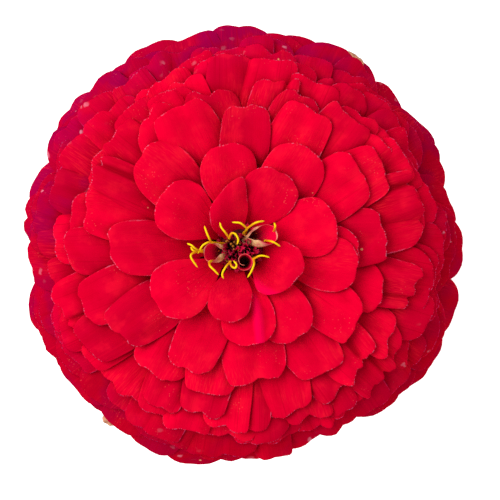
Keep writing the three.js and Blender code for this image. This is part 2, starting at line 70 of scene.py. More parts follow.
POT_RADIUS = radius_mm("pot")
POT_TOP_Z = box_mm("pot")[1][2]
SOIL_RADIUS = radius_mm("soil")
STEM_FOOT_Z = box_mm("leafy_stem")[0][2]
HEART_FOOT_Z = box_mm("disc_heart")[0][2]
STYLES_FOOT_Z = box_mm("yellow_styles")[0][2]

# The bloom: its axis, the radius and level of its rim, and how far its dome rises above that.
CENTRE = np.array([-1.5, -0.4, 0.0])
RADIUS = 55.0
RIM_Z = 184.0
DOME_HEIGHT = 31.0
# The core that the rays grow from.
CORE_TOP_Z = 206.0
CORE_FOOT_Z = 173.0
CORE_FOOT_RADIUS = 10.0
# How far from the axis the innermost rays spring.
RAY_FOOT = 4.5
# The first rays to this bearing start nearer the eye, because the disc's heart lies the other way.
NEAR_BEARING = 100
NEARER = 2.3
# How a ray is shaped, as in the solids: slopes in degrees, shares of its half width, and how
# thick it is.
RISE_BY_EYE = 50
RISE_AT_FOOT = 2
DROOP_BY_EYE = -4
DROOP_AT_FOOT = 62
CHANNEL = 0.3
CROWN = 0.16
RAY_THICKNESS = 0.34
# How high and how wide a fold along a ray is.
FOLD_HEIGHT = 0.9
FOLD_WIDTH = 0.15

# The innermost rays, one by one: reach of the tip from the axis, width, bearing of the tip, tone
# from 0, scarlet, to 1, crimson, and where across it, from -1 to 1, a soft raised fold runs (0 for
# none).
INNER = [
    (14.0, 9.8, 114, 0.55, 0),
    (14.8, 13.4, 328, 0.7, -0.86),
    (17.3, 10.0, 259, 0.75, 0),
    (19.6, 13.0, 62, 0.6, 0),
    (21.6, 13.8, 147, 0.2, 0),
    (22.6, 12.8, 276, 0.3, 0.36),
    (22.6, 14.0, 16, 0.2, 0),
    (23.3, 14.2, 215, 0.25, 0),
    (23.9, 13.4, 99, 0.3, 0),
    (24.8, 13.0, 303, 0.45, 0),
    (27.9, 11.0, 359, 0.5, 0),
    (27.3, 13.0, 349, 0.25, 0),
    (27.6, 14.2, 53, 0.2, 0),
]
# How the first two differ in outline from the rest: how far one side falls short at the tip, and
# how many degrees the tip swings to that side.
INNER_SHAPES = {0: {"skew": 0.4, "twist": -13}, 1: {"skew": -0.15, "twist": 2}}
# The other rays that show from above, in whorls outward: reach, width and bearings.
WHORLS = [
    (30, 13.8, [179, 246, 137]),
    (32, 14.4, [276, 331, 90]),
    (33.5, 14, [30, 112, 216, 4]),
    (35.5, 13.6, [64, 126, 305, 167, 257, 344]),
    (37, 14.2, [100, 154, 33, 236]),
    (39, 12.8, [77, 199, 316, 136, 113, 49, 182, 170, 152]),
    (41, 13.2, [262, 291, 346, 329, 304]),
    (42.5, 13.6, [275, 65, 18, 127, 6, 213]),
    (44, 13.4, [175, 90, 198, 160, 39, 244]),
    (45.5, 13.6, [314, 147, 351, 103, 265, 188, 225, 282]),
    (47, 14, [62, 79, 335, 303, 19]),
    (48.5, 14, [47, 168, 205, 0]),
    (50, 14.4, [252, 134, 117, 323, 234]),
]
# The rays of the rim, which make the outline, and how far a tip may be off the dome.
RIM = [
    (51.7, 14, [300, 292]),
    (53.5, 14.4, [353, 283, 272, 211, 184]),
    (54.5, 14.6, [310, 135, 159, 194, 220]),
    (53, 14.6, [150]),
    (54.5, 14.6, [233, 171]),
    (55.5, 15, [320]),
    (53.5, 15, [14]),
    (55.5, 15, [74, 25, 45, 35, 126, 105, 96, 203]),
    (56.3, 15.6, [88, 58, 330, 242, 259, 250, 143]),
    (57, 16, [2, 342, 117]),
]
RIM_SINKS = (-3, 3)
# More rays of the same whorls, which the solids go without: fillers between those above.
FILLERS = [
    (38, 11.5, [71, 120]),
    (39.5, 12, [33, 256, 143]),
    (41.5, 12.5, [47, 240, 110]),
    (43, 12.5, [114, 81, 252, 295, 28]),
    (44.5, 12.5, [151, 326, 12, 56, 120]),
    (46.5, 13, [209, 132, 275, 343]),
    (48, 13, [91, 242, 291, 177, 218, 30]),
    (50, 13.5, [10, 57, 70, 143, 155, 187, 268, 312, 345]),
    (52, 13.5, [30, 82, 200, 226, 335, 165, 107, 281, 262, 244, 212]),
    (51.5, 14.5, [8, 178, 267, 290, 348]),
    (54, 14.5, [66, 116, 127, 203, 222, 235, 322, 336]),
    (45, 10.5, [24, 52, 72, 97, 138, 161, 217, 233, 271, 303]),
    (47.5, 11, [38, 105, 122, 152, 172, 196, 250, 284, 328, 356]),
    (50.5, 11, [5, 37, 50, 87, 100, 147, 164, 179, 209, 259, 276, 302, 331]),
]
FILLER_SINKS = (0, 1.5)
# Rays under the rim that fill it out from the side: reach, width, bearings and how far they sink.
UNDER_RIM = (51.5, 13.5, range(5, 360, 24), (5, 9))
# Which rays have a deep crease along them, by reach and bearing, and where across it runs.
CREASES = {
    (37, 154): -0.62,
    (39, 316): 0.3,
    (45.5, 314): 0.4,
    (41, 346): -0.5,
    (42.5, 18): 0.5,
    (44, 39): -0.4,
    (45.5, 103): 0.5,
    (39, 77): -0.5,
    (44, 198): 0.5,
    (47, 62): 0.3,
    (48.5, 168): -0.4,
    (47, 303): -0.4,
}
CREASE_DEPTH = 1.3
CREASE_WIDTH = 0.11
CREASE_STAND_OFF = 0.7
# Withered rays under the rim, which show only past its outline: reach, width, bearing, how far
# they sink, and their shape.
WITHERED = [(59.0, 4.0, 231, 3), (53.6, 9.0, 60, 3)]
WITHERED_SHAPE = {"crown": 0.15, "crease": 0.08, "ragged": 0.05, "lobes": 0.0, "skew": 0.4}
# Rays that reach less than the first are smooth in outline, those past the second and above the
# rim stand and curl freely, and those past the third are dented with the outline.
SMOOTH_REACH = 25
LOOSE_REACH = 28
DENTED_REACH = 44
# Where the outline is dented, or bulges where the depth is below 0: bearing and depth, and how
# many degrees wide a dent is.
DENTS = [
    (10, 1.5),
    (24, -0.8),
    (34, 1.2),
    (100, 2.1),
    (130, 1.0),
    (180, 3.2),
    (192, -1.2),
    (216, 2.1),
    (233, 2.4),
    (268, 1.9),
    (292, 2.2),
    (306, 1.0),
    (334, -1.4),
    (350, 2.4),
]
DENT_WIDTH = 8
# The rim is this share of the way down the dome, its own rays start at the next, and the skirt
# under it is placed by rule.
RIM_DOWN = 0.75
OUTER_DOWN = 0.48
SKIRT_COUNT = 26
SKIRT_REACH = (53.5, 44)
SKIRT_SINK = (4, 12)
SKIRT_WIDTH = 13.5
SKIRT_FIRST_BEARING = 75
# The rays of each piece start this share of the way down the dome.
PIECE_STARTS = {"rays_skirt": 0.51, "rays_rim": 0.37, "rays_shoulder": 0.24, "rays_crown": -1}
RAY_ROWS = 32
# Columns of a plain ray, one with a fold and one with a deep crease.
PLAIN_COLUMNS = 17
FOLD_COLUMNS = 29
CREASE_COLUMNS = 45

# The rim is purple most of all towards the first bearing. Towards the second the outer rays get painted
# shade, as dark as those further down: past what reach, by how much, and how many degrees wide that is.
COOL_BEARING = 122
SHADED_BEARING = 166
SHADED_REACH = 43
SHADED_MORE = 0.16
SHADED_WIDTH = 17
# Where small pale scars lie close together on the rim, east and north of the part's origin, and
# how high. They thin out between the last two distances, in metres.
SCARRED = [(47, -1), (39, -28), (-41, 28), (-44, 13), (3, 47)]
SCARRED_Z = RIM_Z + 12
SCARS_THIN = (0.0085, 0.005)

# The photograph's view, straight down: its size and the pixel that the eye of the bloom falls on,
# the scale there, how far above it the lens is, how high it lies, and how wide the sensor is.
IMAGE_SIZE = 500
EYE_PIXEL = (240, 247)
PIXELS_PER_MM = 4.373
CAMERA_DISTANCE = 300
EYE_Z = RIM_Z + DOME_HEIGHT - 1
SENSOR = 36.0
# The stage, with lengths in metres: half the floor's width and how much it glows, where the key
# light stands, its size and power, how bright the sky is, and how near and far the camera sees.
FLOOR_HALF = 30.0
FLOOR_GLOW = 0.8
KEY_AT = (-0.6, 0.25, 0.95)
KEY_SIZE = 0.8
KEY_ENERGY = 7.7
SKY_STRENGTH = 0.62
CAMERA_RANGE = (0.01, 100)


class Draws:
    """A repeatable run of even draws, the same one that the solids use."""

    def __init__(self, seed):
        self.state = seed

    def __call__(self, low=0.0, high=1.0):
        self.state = (self.state * 1664525 + 1013904223) & 0xFFFFFFFF
        return low + (high - low) * self.state / 4294967296


def mix(a, b, share):
    return a + (b - a) * share


def smooth(x):
    x = np.clip(x, 0, 1)
    return x * x * (3 - 2 * x)


def degrees_apart(bearing, other):
    """The turn from one bearing to another, from -180 to 180."""
    return (bearing - other + 180) % 360 - 180


# Materials


class Value:
    """A number that nodes work out, so that a material can reckon with it as with any number."""

    def __init__(self, shader, socket):
        self.shader = shader
        self.socket = socket

    def __add__(self, other):
        return self.shader.math("ADD", self, other)

    def __sub__(self, other):
        return self.shader.math("SUBTRACT", self, other)

    def __rsub__(self, other):
        return self.shader.math("SUBTRACT", other, self)

    def __mul__(self, other):
        return self.shader.math("MULTIPLY", self, other)

    def __abs__(self):
        return self.shader.math("ABSOLUTE", self)

    def grade(self, low, high, to_low=0.0, to_high=1.0):
        """Goes smoothly from to_low to to_high as the number goes from low to high."""
        inputs = {"Value": self, "From Min": low, "From Max": high, "To Min": to_low, "To Max": to_high}
        return self.shader.value("ShaderNodeMapRange", "Result", inputs, interpolation_type="SMOOTHSTEP")


class Shader:
    """A node material, built a line at a time round one Principled shader.

    On a blade, across and along are shares of its width and length, and side is how far a point is
    from its middle line, from 0 to 1. Place is where a point is on the object, in metres.
    """

    def __init__(self, name, roughness, specular, tint=(1.0, 1.0, 1.0)):
        self.material = bpy.data.materials.new(name)
        self.material.use_nodes = True
        self.tree = self.material.node_tree
        self.bsdf = self.tree.nodes["Principled BSDF"]
        self.give("Roughness", roughness)
        self.give("Specular IOR Level", specular)
        self.give("Specular Tint", tint)
        self.place = self.node("ShaderNodeTexCoord").outputs["Object"]
        uv = self.node("ShaderNodeUVMap").outputs["UV"]
        self.across = self.part(uv, "X")
        self.along = self.part(uv, "Y")
        self.side = abs(self.across * 2.0 - 1.0)

    def give(self, socket, value):
        """Gives the Principled shader a value, or links it to what works one out."""
        self.feed(self.bsdf.inputs[socket], value)

    def feed(self, socket, value):
        """Sets a socket, or links it to the one that is given."""
        value = getattr(value, "socket", value)
        if isinstance(value, bpy.types.NodeSocket):
            self.tree.links.new(value, socket)
        elif socket.type == "RGBA":
            socket.default_value = (*value, 1.0)
        else:
            socket.default_value = value

    def node(self, kind, inputs=(), **settings):
        """Adds a node with its settings and inputs."""
        made = self.tree.nodes.new(kind)
        for key, value in settings.items():
            setattr(made, key, value)
        for key, value in dict(inputs).items():
            self.feed(made.inputs[key], value)
        return made

    def value(self, kind, output, inputs=(), **settings):
        """The number that a new node gives."""
        return Value(self, self.node(kind, inputs, **settings).outputs[output])

    def mark(self, name):
        """A value that the mesh carries."""
        return self.value("ShaderNodeAttribute", "Fac", attribute_name=name)

    def part(self, vector, axis):
        """One of the three parts of a vector."""
        return self.value("ShaderNodeSeparateXYZ", axis, {0: vector})

    def math(self, operation, a, b=0.0):
        return self.value("ShaderNodeMath", 0, {0: a, 1: b}, operation=operation)

    def noise(self, place, scale, detail=2.0, roughness=0.5, distortion=0.0):
        inputs = {"Vector": place, "Scale": scale, "Detail": detail}
        inputs.update({"Roughness": roughness, "Distortion": distortion})
        return self.value("ShaderNodeTexNoise", "Fac", inputs)

    def streaks(self, wide, long, detail=2.0, roughness=0.5, shift=0.0, layer=0.0):
        """Noise laid over a blade, this fine across and along it."""
        parts = {0: self.across * wide + shift, 1: self.along * long, 2: layer}
        return self.noise(self.node("ShaderNodeCombineXYZ", parts).outputs[0], 1.0, detail, roughness)

    def scatter(self, place, scale, axis="X"):
        """Scattered points: how far the nearest is, and the lot from 0 to 1 that it drew."""
        made = self.node("ShaderNodeTexVoronoi", {"Vector": place, "Scale": scale})
        return Value(self, made.outputs["Distance"]), self.part(made.outputs["Color"], axis)

    def layers(self, colour, *rest):
        """Lays colours over the first, each as far as the share before it says."""
        for share, laid in rest:
            colour = self.node("ShaderNodeMix", {0: share, 6: colour, 7: laid}, data_type="RGBA").outputs[2]
        return colour

    def finish(self, colour, relief=None, depth=0.0, strength=1.0):
        """The finished material, with its colour and a relief this many metres deep."""
        self.give("Base Color", colour)
        if relief:
            inputs = {"Height": relief, "Distance": depth, "Strength": strength}
            self.give("Normal", self.node("ShaderNodeBump", inputs).outputs["Normal"])
        return self.material


def ray_face_material():
    """The velvety upper face of a ray: scarlet, finely veined lengthways, with painted shade at its foot and
    in its nooks, and painted highlights in fine streaks.
    """
    shader = Shader("ray_face", 0.8, 0.0)
    across, along, place = shader.across, shader.along, shader.place
    tone, down, cool = shader.mark("tone"), shader.mark("down"), shader.mark("cool")
    offset = tone * 37.0
    veins = shader.streaks(24.0, 2.4, 3.0, 0.6, offset, offset)
    cells = shader.streaks(60.0, 60.0, 1.0, layer=offset)
    mottle = shader.noise(place, 210.0, 3.0, 0.55)
    # The part that goes under the next whorl gets painted shade, and that lies further out on the lower rays.
    start = shader.math("MINIMUM", down * 2.4 - 0.12, 0.58)
    covered_shade = along.grade(start, start + 0.4, 1.0, 0.0)
    # The rim is mottled with purple, more so on its cool side.
    plain = shader.layers((0.42, 0.0, 0.009), (cool, (0.37, 0.0, 0.026)))
    purple = shader.layers((0.34, 0.0, 0.018), (cool, (0.25, 0.0, 0.055)))
    rim = shader.layers(plain, (shader.noise(place, 130.0).grade(0.42, 0.62), purple))
    # Thin dark lines run out from the foot.
    lines = shader.streaks(40.0, 1.3, 1.0, 0.5, offset, offset).grade(0.6, 0.72, 0.0, 0.4)
    lines = lines * along.grade(start + 0.75, start + 0.35)
    # A fold shows a softly lit, pinker band.
    from_fold = abs(across - shader.mark("fold"))
    band = from_fold.grade(0.13, 0.03, 0.0, 0.85) * along.grade(0.25, 0.5)
    # Fine scarlet streaks of painted highlight come and go over the bloom, and tiny flecks lie in clusters.
    streaks = shader.streaks(56.0, 14.0, 2.0, 0.5, offset, offset).grade(0.45, 0.72)
    streaks = streaks * shader.noise(place, 75.0).grade(0.5, 0.7, 0.0, 0.36)
    flecks = shader.scatter(place, 1500.0)[0].grade(0.22, 0.12)
    flecks = flecks * shader.noise(place, 140.0).grade(0.56, 0.7, 0.0, 0.4)
    # A few grains of fallen pollen and dust.
    from_grain, lot = shader.scatter(place, 260.0)
    grains = from_grain.grade(0.1, 0.06) * lot.grade(0.965, 0.975) * 0.8
    scars = scar_share(shader) * down.grade(0.3, 0.45, 0.0, 0.85)
    # A thin, broken pale line runs round the outer part of the outline.
    edge = margin_share(shader, 0.3) * along.grade(0.5, 0.7)
    strength = down.grade(0.35, 0.6, 0.6, 0.24)
    dots = shader.streaks(40.0, 50.0, 1.0, layer=offset).grade(0.5, 0.62, 0.0, strength)
    runs = shader.streaks(3.0, 3.0, 1.0, layer=offset).grade(0.42, 0.6)
    line = shader.layers((0.74, 0.2, 0.36), (down.grade(0.15, 0.45), (0.6, 0.07, 0.3)))
    colour = shader.layers(
        (0.86, 0.0, 0.03),
        (tone, (0.62, 0.0, 0.024)),
        # Painted shade on the part under the next whorl.
        (covered_shade, (0.46, 0.0, 0.009)),
        (mottle.grade(0.5, 0.7, 0.0, 0.4), (0.98, 0.008, 0.034)),
        (mottle.grade(0.48, 0.3, 0.0, 0.35), (0.55, 0.0, 0.013)),
        (down.grade(0.22, 0.58, 0.0, 0.85), rim),
        (veins.grade(0.52, 0.8, 0.0, 0.2), (0.95, 0.004, 0.03)),
        (veins.grade(0.46, 0.25, 0.0, 0.2), (0.45, 0.0, 0.009)),
        (lines, (0.36, 0.0, 0.008)),
        # Painted shade in the nooks, where the rays round a point stand out past it.
        (shader.mark("nook_shade") * 0.7, (0.28, 0.0, 0.006)),
        (band, (0.95, 0.0, 0.068)),
        # Painted highlight in fine streaks.
        (streaks, (1.0, 0.02, 0.032)),
        (flecks, (1.0, 0.13, 0.1)),
        (grains, (0.95, 0.4, 0.2)),
        (scars, (0.76, 0.24, 0.34)),
        (edge * dots * runs, line),
    )
    return shader.finish(colour, cells * 0.25 + veins, 0.00012, 0.6)


def scar_share(shader):
    """How much of a small pale scar a point shows: most of them lie in a few places on the rim."""
    place = shader.place
    swirl = shader.node("ShaderNodeTexNoise", {"Vector": place, "Scale": 500.0, "Detail": 1.0})
    warp = swirl.outputs["Color"]
    inputs = {0: warp, 1: (0.0024, 0.0024, 0.0024), 2: place}
    warped = shader.node("ShaderNodeVectorMath", inputs, operation="MULTIPLY_ADD").outputs[0]
    from_scar, lot = shader.scatter(warped, 420.0, "Y")
    near = shader.noise(place, 60.0, 1.0).grade(0.54, 0.66, 0.0, 0.6)
    for x, y in SCARRED:
        inputs = {0: place, 1: (x * MM, y * MM, SCARRED_Z * MM)}
        away = shader.value("ShaderNodeVectorMath", "Value", inputs, operation="DISTANCE")
        near = shader.math("MAXIMUM", near, away.grade(*SCARS_THIN))
    return from_scar.grade(0.36, 0.16) * lot.grade(0.64, 0.68) * near


def margin_share(shader, width):
    """How far into the margin of a ray a point is: 1 at its outline and 0 at this width within."""
    from_side = (1.0 - shader.side) * shader.mark("half_width")
    from_tip = (1.0 - shader.along) * shader.mark("length")
    return shader.math("MINIMUM", from_side, from_tip).grade(width, width * 0.4)


def ray_back_material():
    """The back of a full-grown ray: a cooler, pinker red, greenish at its foot."""
    shader = Shader("ray_back", 0.8, 0.0)
    offset = shader.mark("tone") * 31.0
    veins = shader.streaks(16.0, 1.2, 2.0, 0.5, offset, offset)
    colour = shader.layers(
        (0.82, 0.0, 0.045),
        (veins.grade(0.35, 0.65), (0.84, 0.0, 0.065)),
        (shader.along.grade(0.0, 0.3, 0.8, 0.0), (0.3, 0.14, 0.05)),
    )
    return shader.finish(colour, veins, 0.0003, 0.8)


def withered_material():
    """A dried ray: papery salmon and tan, brown along its margin and still red at its foot."""
    shader = Shader("withered_ray", 0.85, 0.05)
    mottle = shader.noise(shader.place, 700.0, 3.0, 0.6)
    colour = shader.layers(
        (0.42, 0.18, 0.1),
        (mottle.grade(0.36, 0.62), (0.74, 0.34, 0.2)),
        (shader.along.grade(0.93, 0.8), (0.35, 0.0, 0.02)),
        (margin_share(shader, 0.4) * 0.7, (0.24, 0.13, 0.08)),
    )
    return shader.finish(colour, mottle, 0.0002, 0.8)


def young_face_material():
    """The inner face of a furled ray: crimson, with painted shade in its throat, and a broken cream margin.
    The scroll, which is shut, has its painted shade reach further up, and only the inner turn of its margin
    is pale."""
    shader = Shader("young_ray_face", 0.55, 0.12, (1.0, 0.05, 0.15))
    along, place, shut = shader.along, shader.place, shader.mark("shut")
    streaks = shader.streaks(26.0, 2.0)
    # Painted shade: dark in the throat and lit further up, with the shade reaching higher in the shut scroll.
    lit = along.grade(shut * 0.3 + 0.3, shut * 0.3 + 0.75)
    specks = shader.noise(place, 2600.0, 1.0).grade(0.62, 0.7) * along.grade(0.7, 0.45)
    broken = shader.noise(place, 330.0).grade(0.42, 0.6, 0.1, 0.85)
    outer_turn = shut * shader.across.grade(0.8, 0.55, 0.0, 0.75)
    colour = shader.layers(
        (0.05, 0.003, 0.003),
        (lit, (0.9, 0.0, 0.045)),
        (streaks.grade(0.5, 0.7, 0.0, 0.3), (0.75, 0.0, 0.05)),
        (specks, (0.6, 0.09, 0.01)),
        (margin_share(shader, 0.36) * (broken * (1.0 - outer_turn)), (0.88, 0.4, 0.26)),
    )
    return shader.finish(colour, streaks, 0.0001, 0.5)


def young_back_material():
    """The back of a young, still furled ray: cream and tan, flushed with pink towards its tip."""
    shader = Shader("young_ray_back", 0.65, 0.15)
    mottle = shader.noise(shader.place, 900.0, 3.0, 0.6)
    flush = shader.noise(shader.place, 350.0)
    colour = shader.layers(
        (0.55, 0.19, 0.07),
        (mottle.grade(0.36, 0.6), (0.82, 0.5, 0.24)),
        (flush.grade(0.5, 0.66, 0.0, 0.6), (0.7, 0.16, 0.18)),
        (shader.along.grade(0.62, 0.95, 0.0, 0.85), (0.62, 0.03, 0.08)),
    )
    return shader.finish(colour, mottle, 0.0001, 0.6)


def bract_material():
    """The fringed bracts of the disc: crimson, nearly black at their feet and pinker at the tip."""
    shader = Shader("disc_bract", 0.5, 0.15, (1.0, 0.1, 0.2))
    colour = shader.layers(
        (0.62, 0.002, 0.042),
        (shader.mark("tone"), (0.34, 0.002, 0.02)),
        (shader.along.grade(0.35, 0.85, 1.0, 0.0), (0.02, 0.001, 0.002)),
        (shader.along.grade(0.88, 1.0, 0.0, 0.35), (0.72, 0.06, 0.16)),
    )
    return shader.finish(colour, shader.noise(shader.place, 2500.0), 0.0001, 0.5)


def receptacle_material():
    """The receptacle between the feet of the rays: a very dark red."""
    shader = Shader("receptacle", 0.8, 0.1)
    patches = shader.noise(shader.place, 900.0)
    colour = shader.layers((0.03, 0.003, 0.004), (patches.grade(0.4, 0.65), (0.11, 0.004, 0.01)))
    return shader.finish(colour, patches, 0.0002, 0.7)


def floret_material():
    """The florets of the disc: olive green, tipped with orange."""
    shader = Shader("young_floret", 0.5, 0.3)
    mottle = shader.noise(shader.place, 1800.0)
    colour = shader.layers(
        (0.14, 0.16, 0.02),
        (shader.along.grade(0.55, 0.95), (0.55, 0.2, 0.02)),
        (mottle.grade(0.4, 0.6, 0.0, 0.5), (0.2, 0.02, 0.01)),
    )
    return shader.finish(colour)


def style_material():
    """The styles: waxy yellow, more orange at the foot, partly as painted shade, with a fine bloom of pollen.
    """
    shader = Shader("style", 0.5, 0.1)
    grains = shader.noise(shader.place, 6000.0, 1.0)
    colour = shader.layers(
        # Orange at the foot, partly painted shade, going to yellow further up.
        (0.75, 0.25, 0.0),
        (shader.along.grade(0.1, 0.55), (1.0, 0.68, 0.0)),
        (grains.grade(0.5, 0.7, 0.0, 0.4), (1.0, 0.8, 0.02)),
    )
    return shader.finish(colour, grains, 0.00008, 0.6)


def leaf_material():
    """The leaves: mid green and rough, with three pale veins from the foot and a net between."""
    shader = Shader("leaf", 0.58, 0.3)
    along, side, place = shader.along, shader.side, shader.place
    outer_veins = abs(side - 0.42).grade(0.035, 0.0) * along.grade(0.85, 0.6)
    comb = abs(shader.math("FRACT", side * -3.2 + along * 13.0) - 0.5)
    veins = shader.math("MAXIMUM", side.grade(0.045, 0.0), outer_veins)
    veins = shader.math("MAXIMUM", veins, comb.grade(0.07, 0.0) * 0.5)
    net = {"Vector": place, "Scale": 420.0}
    edges = shader.value("ShaderNodeTexVoronoi", "Distance", net, feature="DISTANCE_TO_EDGE")
    puckers = edges.grade(0.0, 0.35)
    hairs = shader.noise(place, 3000.0, 1.0)
    colour = shader.layers(
        (0.026, 0.135, 0.016),
        (shader.noise(place, 60.0, 3.0, 0.55).grade(0.35, 0.68), (0.055, 0.21, 0.024)),
        (shader.mark("tone") * 0.55, (0.085, 0.25, 0.03)),
        (veins * 0.6, (0.15, 0.34, 0.09)),
    )
    return shader.finish(colour, hairs * 0.25 + (puckers - veins), 0.0004, 0.7)


def stem_material():
    """The stem and the cup: pale green, flushed brown here and there, with fine lengthwise ribs."""
    shader = Shader("stem", 0.6, 0.3)
    fine = shader.noise(shader.place, 900.0)
    colour = shader.layers(
        (0.12, 0.24, 0.05),
        (shader.noise(shader.place, 45.0, 3.0).grade(0.4, 0.7), (0.2, 0.19, 0.06)),
        (fine.grade(0.45, 0.65, 0.0, 0.35), (0.25, 0.36, 0.12)),
    )
    return shader.finish(colour, fine, 0.0002, 0.7)


def scale_material():
    """The scales of the cup: light green with a dark brown margin."""
    shader = Shader("cup_scale", 0.55, 0.3)
    along = shader.along
    edge = shader.math("MAXIMUM", along.grade(0.84, 0.95), shader.side.grade(0.86, 0.97))
    streaks = shader.streaks(14.0, 1.0)
    colour = shader.layers(
        (0.09, 0.22, 0.04),
        (streaks.grade(0.35, 0.65), (0.17, 0.31, 0.07)),
        (edge * along.grade(0.3, 0.6) * 0.85, (0.035, 0.016, 0.01)),
    )
    return shader.finish(colour, streaks, 0.0002, 0.7)


def clay_material():
    """Fired clay: orange brown, speckled, turned in fine rings, with a pale bloom of lime."""
    shader = Shader("terracotta", 0.85, 0.25)
    place = shader.place
    height = shader.part(place, "Z")
    speckle = shader.noise(place, 1400.0)
    lime = shader.noise(place, 55.0, 5.0, 0.7, 0.6).grade(0.52, 0.75, 0.0, 0.55)
    colour = shader.layers(
        (0.42, 0.14, 0.06),
        (shader.noise(place, 28.0, 4.0, 0.6).grade(0.35, 0.7), (0.52, 0.2, 0.095)),
        (speckle.grade(0.6, 0.72, 0.0, 0.5), (0.2, 0.07, 0.035)),
        (lime * height.grade(0.06, 0.0, 0.25, 1.0), (0.62, 0.5, 0.42)),
    )
    rings_at = shader.node("ShaderNodeCombineXYZ", {2: height * 900.0}).outputs[0]
    return shader.finish(colour, speckle * 0.6 + shader.noise(rings_at, 1.0), 0.00022, 0.7)


def compost_material():
    """Moist potting compost: near black and brown crumbs."""
    shader = Shader("compost", 0.95, 0.2)
    crumbs = shader.noise(shader.place, 420.0, 4.0, 0.65)
    patches = shader.noise(shader.place, 70.0)
    colour = shader.layers(
        (0.018, 0.011, 0.007),
        (crumbs.grade(0.35, 0.68), (0.085, 0.05, 0.028)),
        (patches.grade(0.55, 0.75, 0.0, 0.4), (0.13, 0.085, 0.05)),
    )
    return shader.finish(colour, crumbs, 0.0008, 1.0)


def perlite_material():
    """White grains of perlite, stained by the compost."""
    shader = Shader("perlite", 0.9, 0.2)
    stain = shader.noise(shader.place, 500.0)
    colour = shader.layers((0.72, 0.69, 0.62), (stain.grade(0.4, 0.7), (0.4, 0.33, 0.25)))
    return shader.finish(colour, stain, 0.0003, 0.8)


def floor_material():
    """The plain pale floor, lit a little from within so that it stays white."""
    shader = Shader("floor", 0.9, 0.1)
    shader.give("Emission Color", (1.0, 1.0, 1.0))
    shader.give("Emission Strength", FLOOR_GLOW)
    grain = shader.noise(shader.place, 3.0, 1.0)
    return shader.finish(shader.layers((0.9, 0.9, 0.9), (grain.grade(0.3, 0.7), (0.92, 0.92, 0.92))))


# Meshes


def level_way(bearing):
    """The level direction at a bearing, in radians."""
    return np.array([math.cos(bearing), math.sin(bearing), 0.0])


def left_of(way):
    """The level direction a quarter turn to the left of another."""
    return np.array([-way[1], way[0], 0.0])


def unit(vectors):
    length = np.linalg.norm(vectors, axis=-1, keepdims=True)
    return vectors / np.maximum(length, 1e-9)


def normals_of(points):
    """The way that a grid of points faces, at each of them."""
    return unit(np.cross(np.gradient(points, axis=1), np.gradient(points, axis=0)))


def superellipse(v, power):
    """How far a tip of this bluntness falls back at v, from 0 in the middle to 1 at the margins."""
    return 1 - (1 - np.abs(v) ** power) ** (1 / power)


def turned(middle, radius, turn, height):
    """Points at this radius, turn and height about an upright axis."""
    return np.stack([middle[0] + radius * np.cos(turn), middle[1] + radius * np.sin(turn), height], -1)


class Patchwork:
    """Grids and loops of points gathered into one mesh, with UVs, materials and attributes."""

    def __init__(self):
        self.points = []
        self.faces = []
        self.uvs = []
        self.slots = []
        self.marks = {}
        self.count = 0

    def add(self, points, faces, uvs, slots, marks=None):
        """Adds vertices, quads (a triangle repeats its last corner), UVs for each corner, and the
        material slot of each face; marks are values that the vertices share, or one for each."""
        self.points.append(points)
        self.faces.append(faces + self.count)
        self.uvs.append(uvs)
        self.slots.append(np.broadcast_to(slots, len(faces)))
        for name, value in (marks or {}).items():
            self.marks.setdefault(name, []).append(np.full(len(points), value))
        self.count += len(points)

    def mesh(self, name):
        """The one mesh of all that was added, in metres and smooth shaded."""
        points = np.concatenate(self.points) * MM
        quads = np.concatenate(self.faces)
        is_quad = quads[:, 2] != quads[:, 3]
        sizes = np.where(is_quad, 4, 3)
        keep = np.ones(quads.shape, bool)
        keep[:, 3] = is_quad
        mesh = bpy.data.meshes.new(name)
        mesh.vertices.add(len(points))
        mesh.vertices.foreach_set("co", points.ravel().astype(np.float32))
        mesh.loops.add(int(sizes.sum()))
        mesh.loops.foreach_set("vertex_index", quads[keep].astype(np.int32))
        mesh.polygons.add(len(quads))
        starts = np.concatenate([[0], np.cumsum(sizes)[:-1]])
        mesh.polygons.foreach_set("loop_start", starts.astype(np.int32))
        mesh.polygons.foreach_set("loop_total", sizes.astype(np.int32))
        mesh.polygons.foreach_set("material_index", np.concatenate(self.slots).astype(np.int32))
        mesh.polygons.foreach_set("use_smooth", np.ones(len(quads), bool))
        layer = mesh.uv_layers.new(name="UVMap")
        layer.uv.foreach_set("vector", np.concatenate(self.uvs)[keep].astype(np.float32).ravel())
        for mark, values in self.marks.items():
            attribute = mesh.attributes.new(mark, "FLOAT", "POINT")
            attribute.data.foreach_set("value", np.concatenate(values).astype(np.float32))
        mesh.update()
        mesh.validate()
        return mesh

    def piece(self, name, materials, replaces, slot):
        """Makes the object, which rides on the one body and stands for a solid."""
        made = bpy.data.objects.new(name, self.mesh(name))
        bpy.context.collection.objects.link(made)
        for material in materials:
            made.data.materials.append(material)
        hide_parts(replaces)
        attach(made, "root")


def grid_faces(rows, columns, index, along=None, across=None):
    """Quads of a grid of vertex numbers, and the share across and along at each corner."""
    across = np.linspace(0, 1, columns) if across is None else across
    along = np.linspace(0, 1, rows) if along is None else along

    def at_corners(grid):
        corners = [(0, 0), (1, 0), (1, 1), (0, 1)]
        return [grid[i : rows - 1 + i, j : columns - 1 + j].ravel() for i, j in corners]

    shares = [np.stack(at_corners(grid), 1) for grid in np.meshgrid(across, along)]
    return np.stack(at_corners(index), -1), np.stack(shares, -1)


def ring_faces(index):
    """Quads between closed rings of vertex numbers, and their UVs."""
    rows, sides = index.shape
    return grid_faces(rows, sides + 1, np.concatenate([index, index[:, :1]], 1))


def fan(first, second, hub):
    """Triangles from a ring to its hub, between each first vertex and the second after it."""
    hubs = np.full(len(first), hub)
    return np.stack([first, second, hubs, hubs], -1)


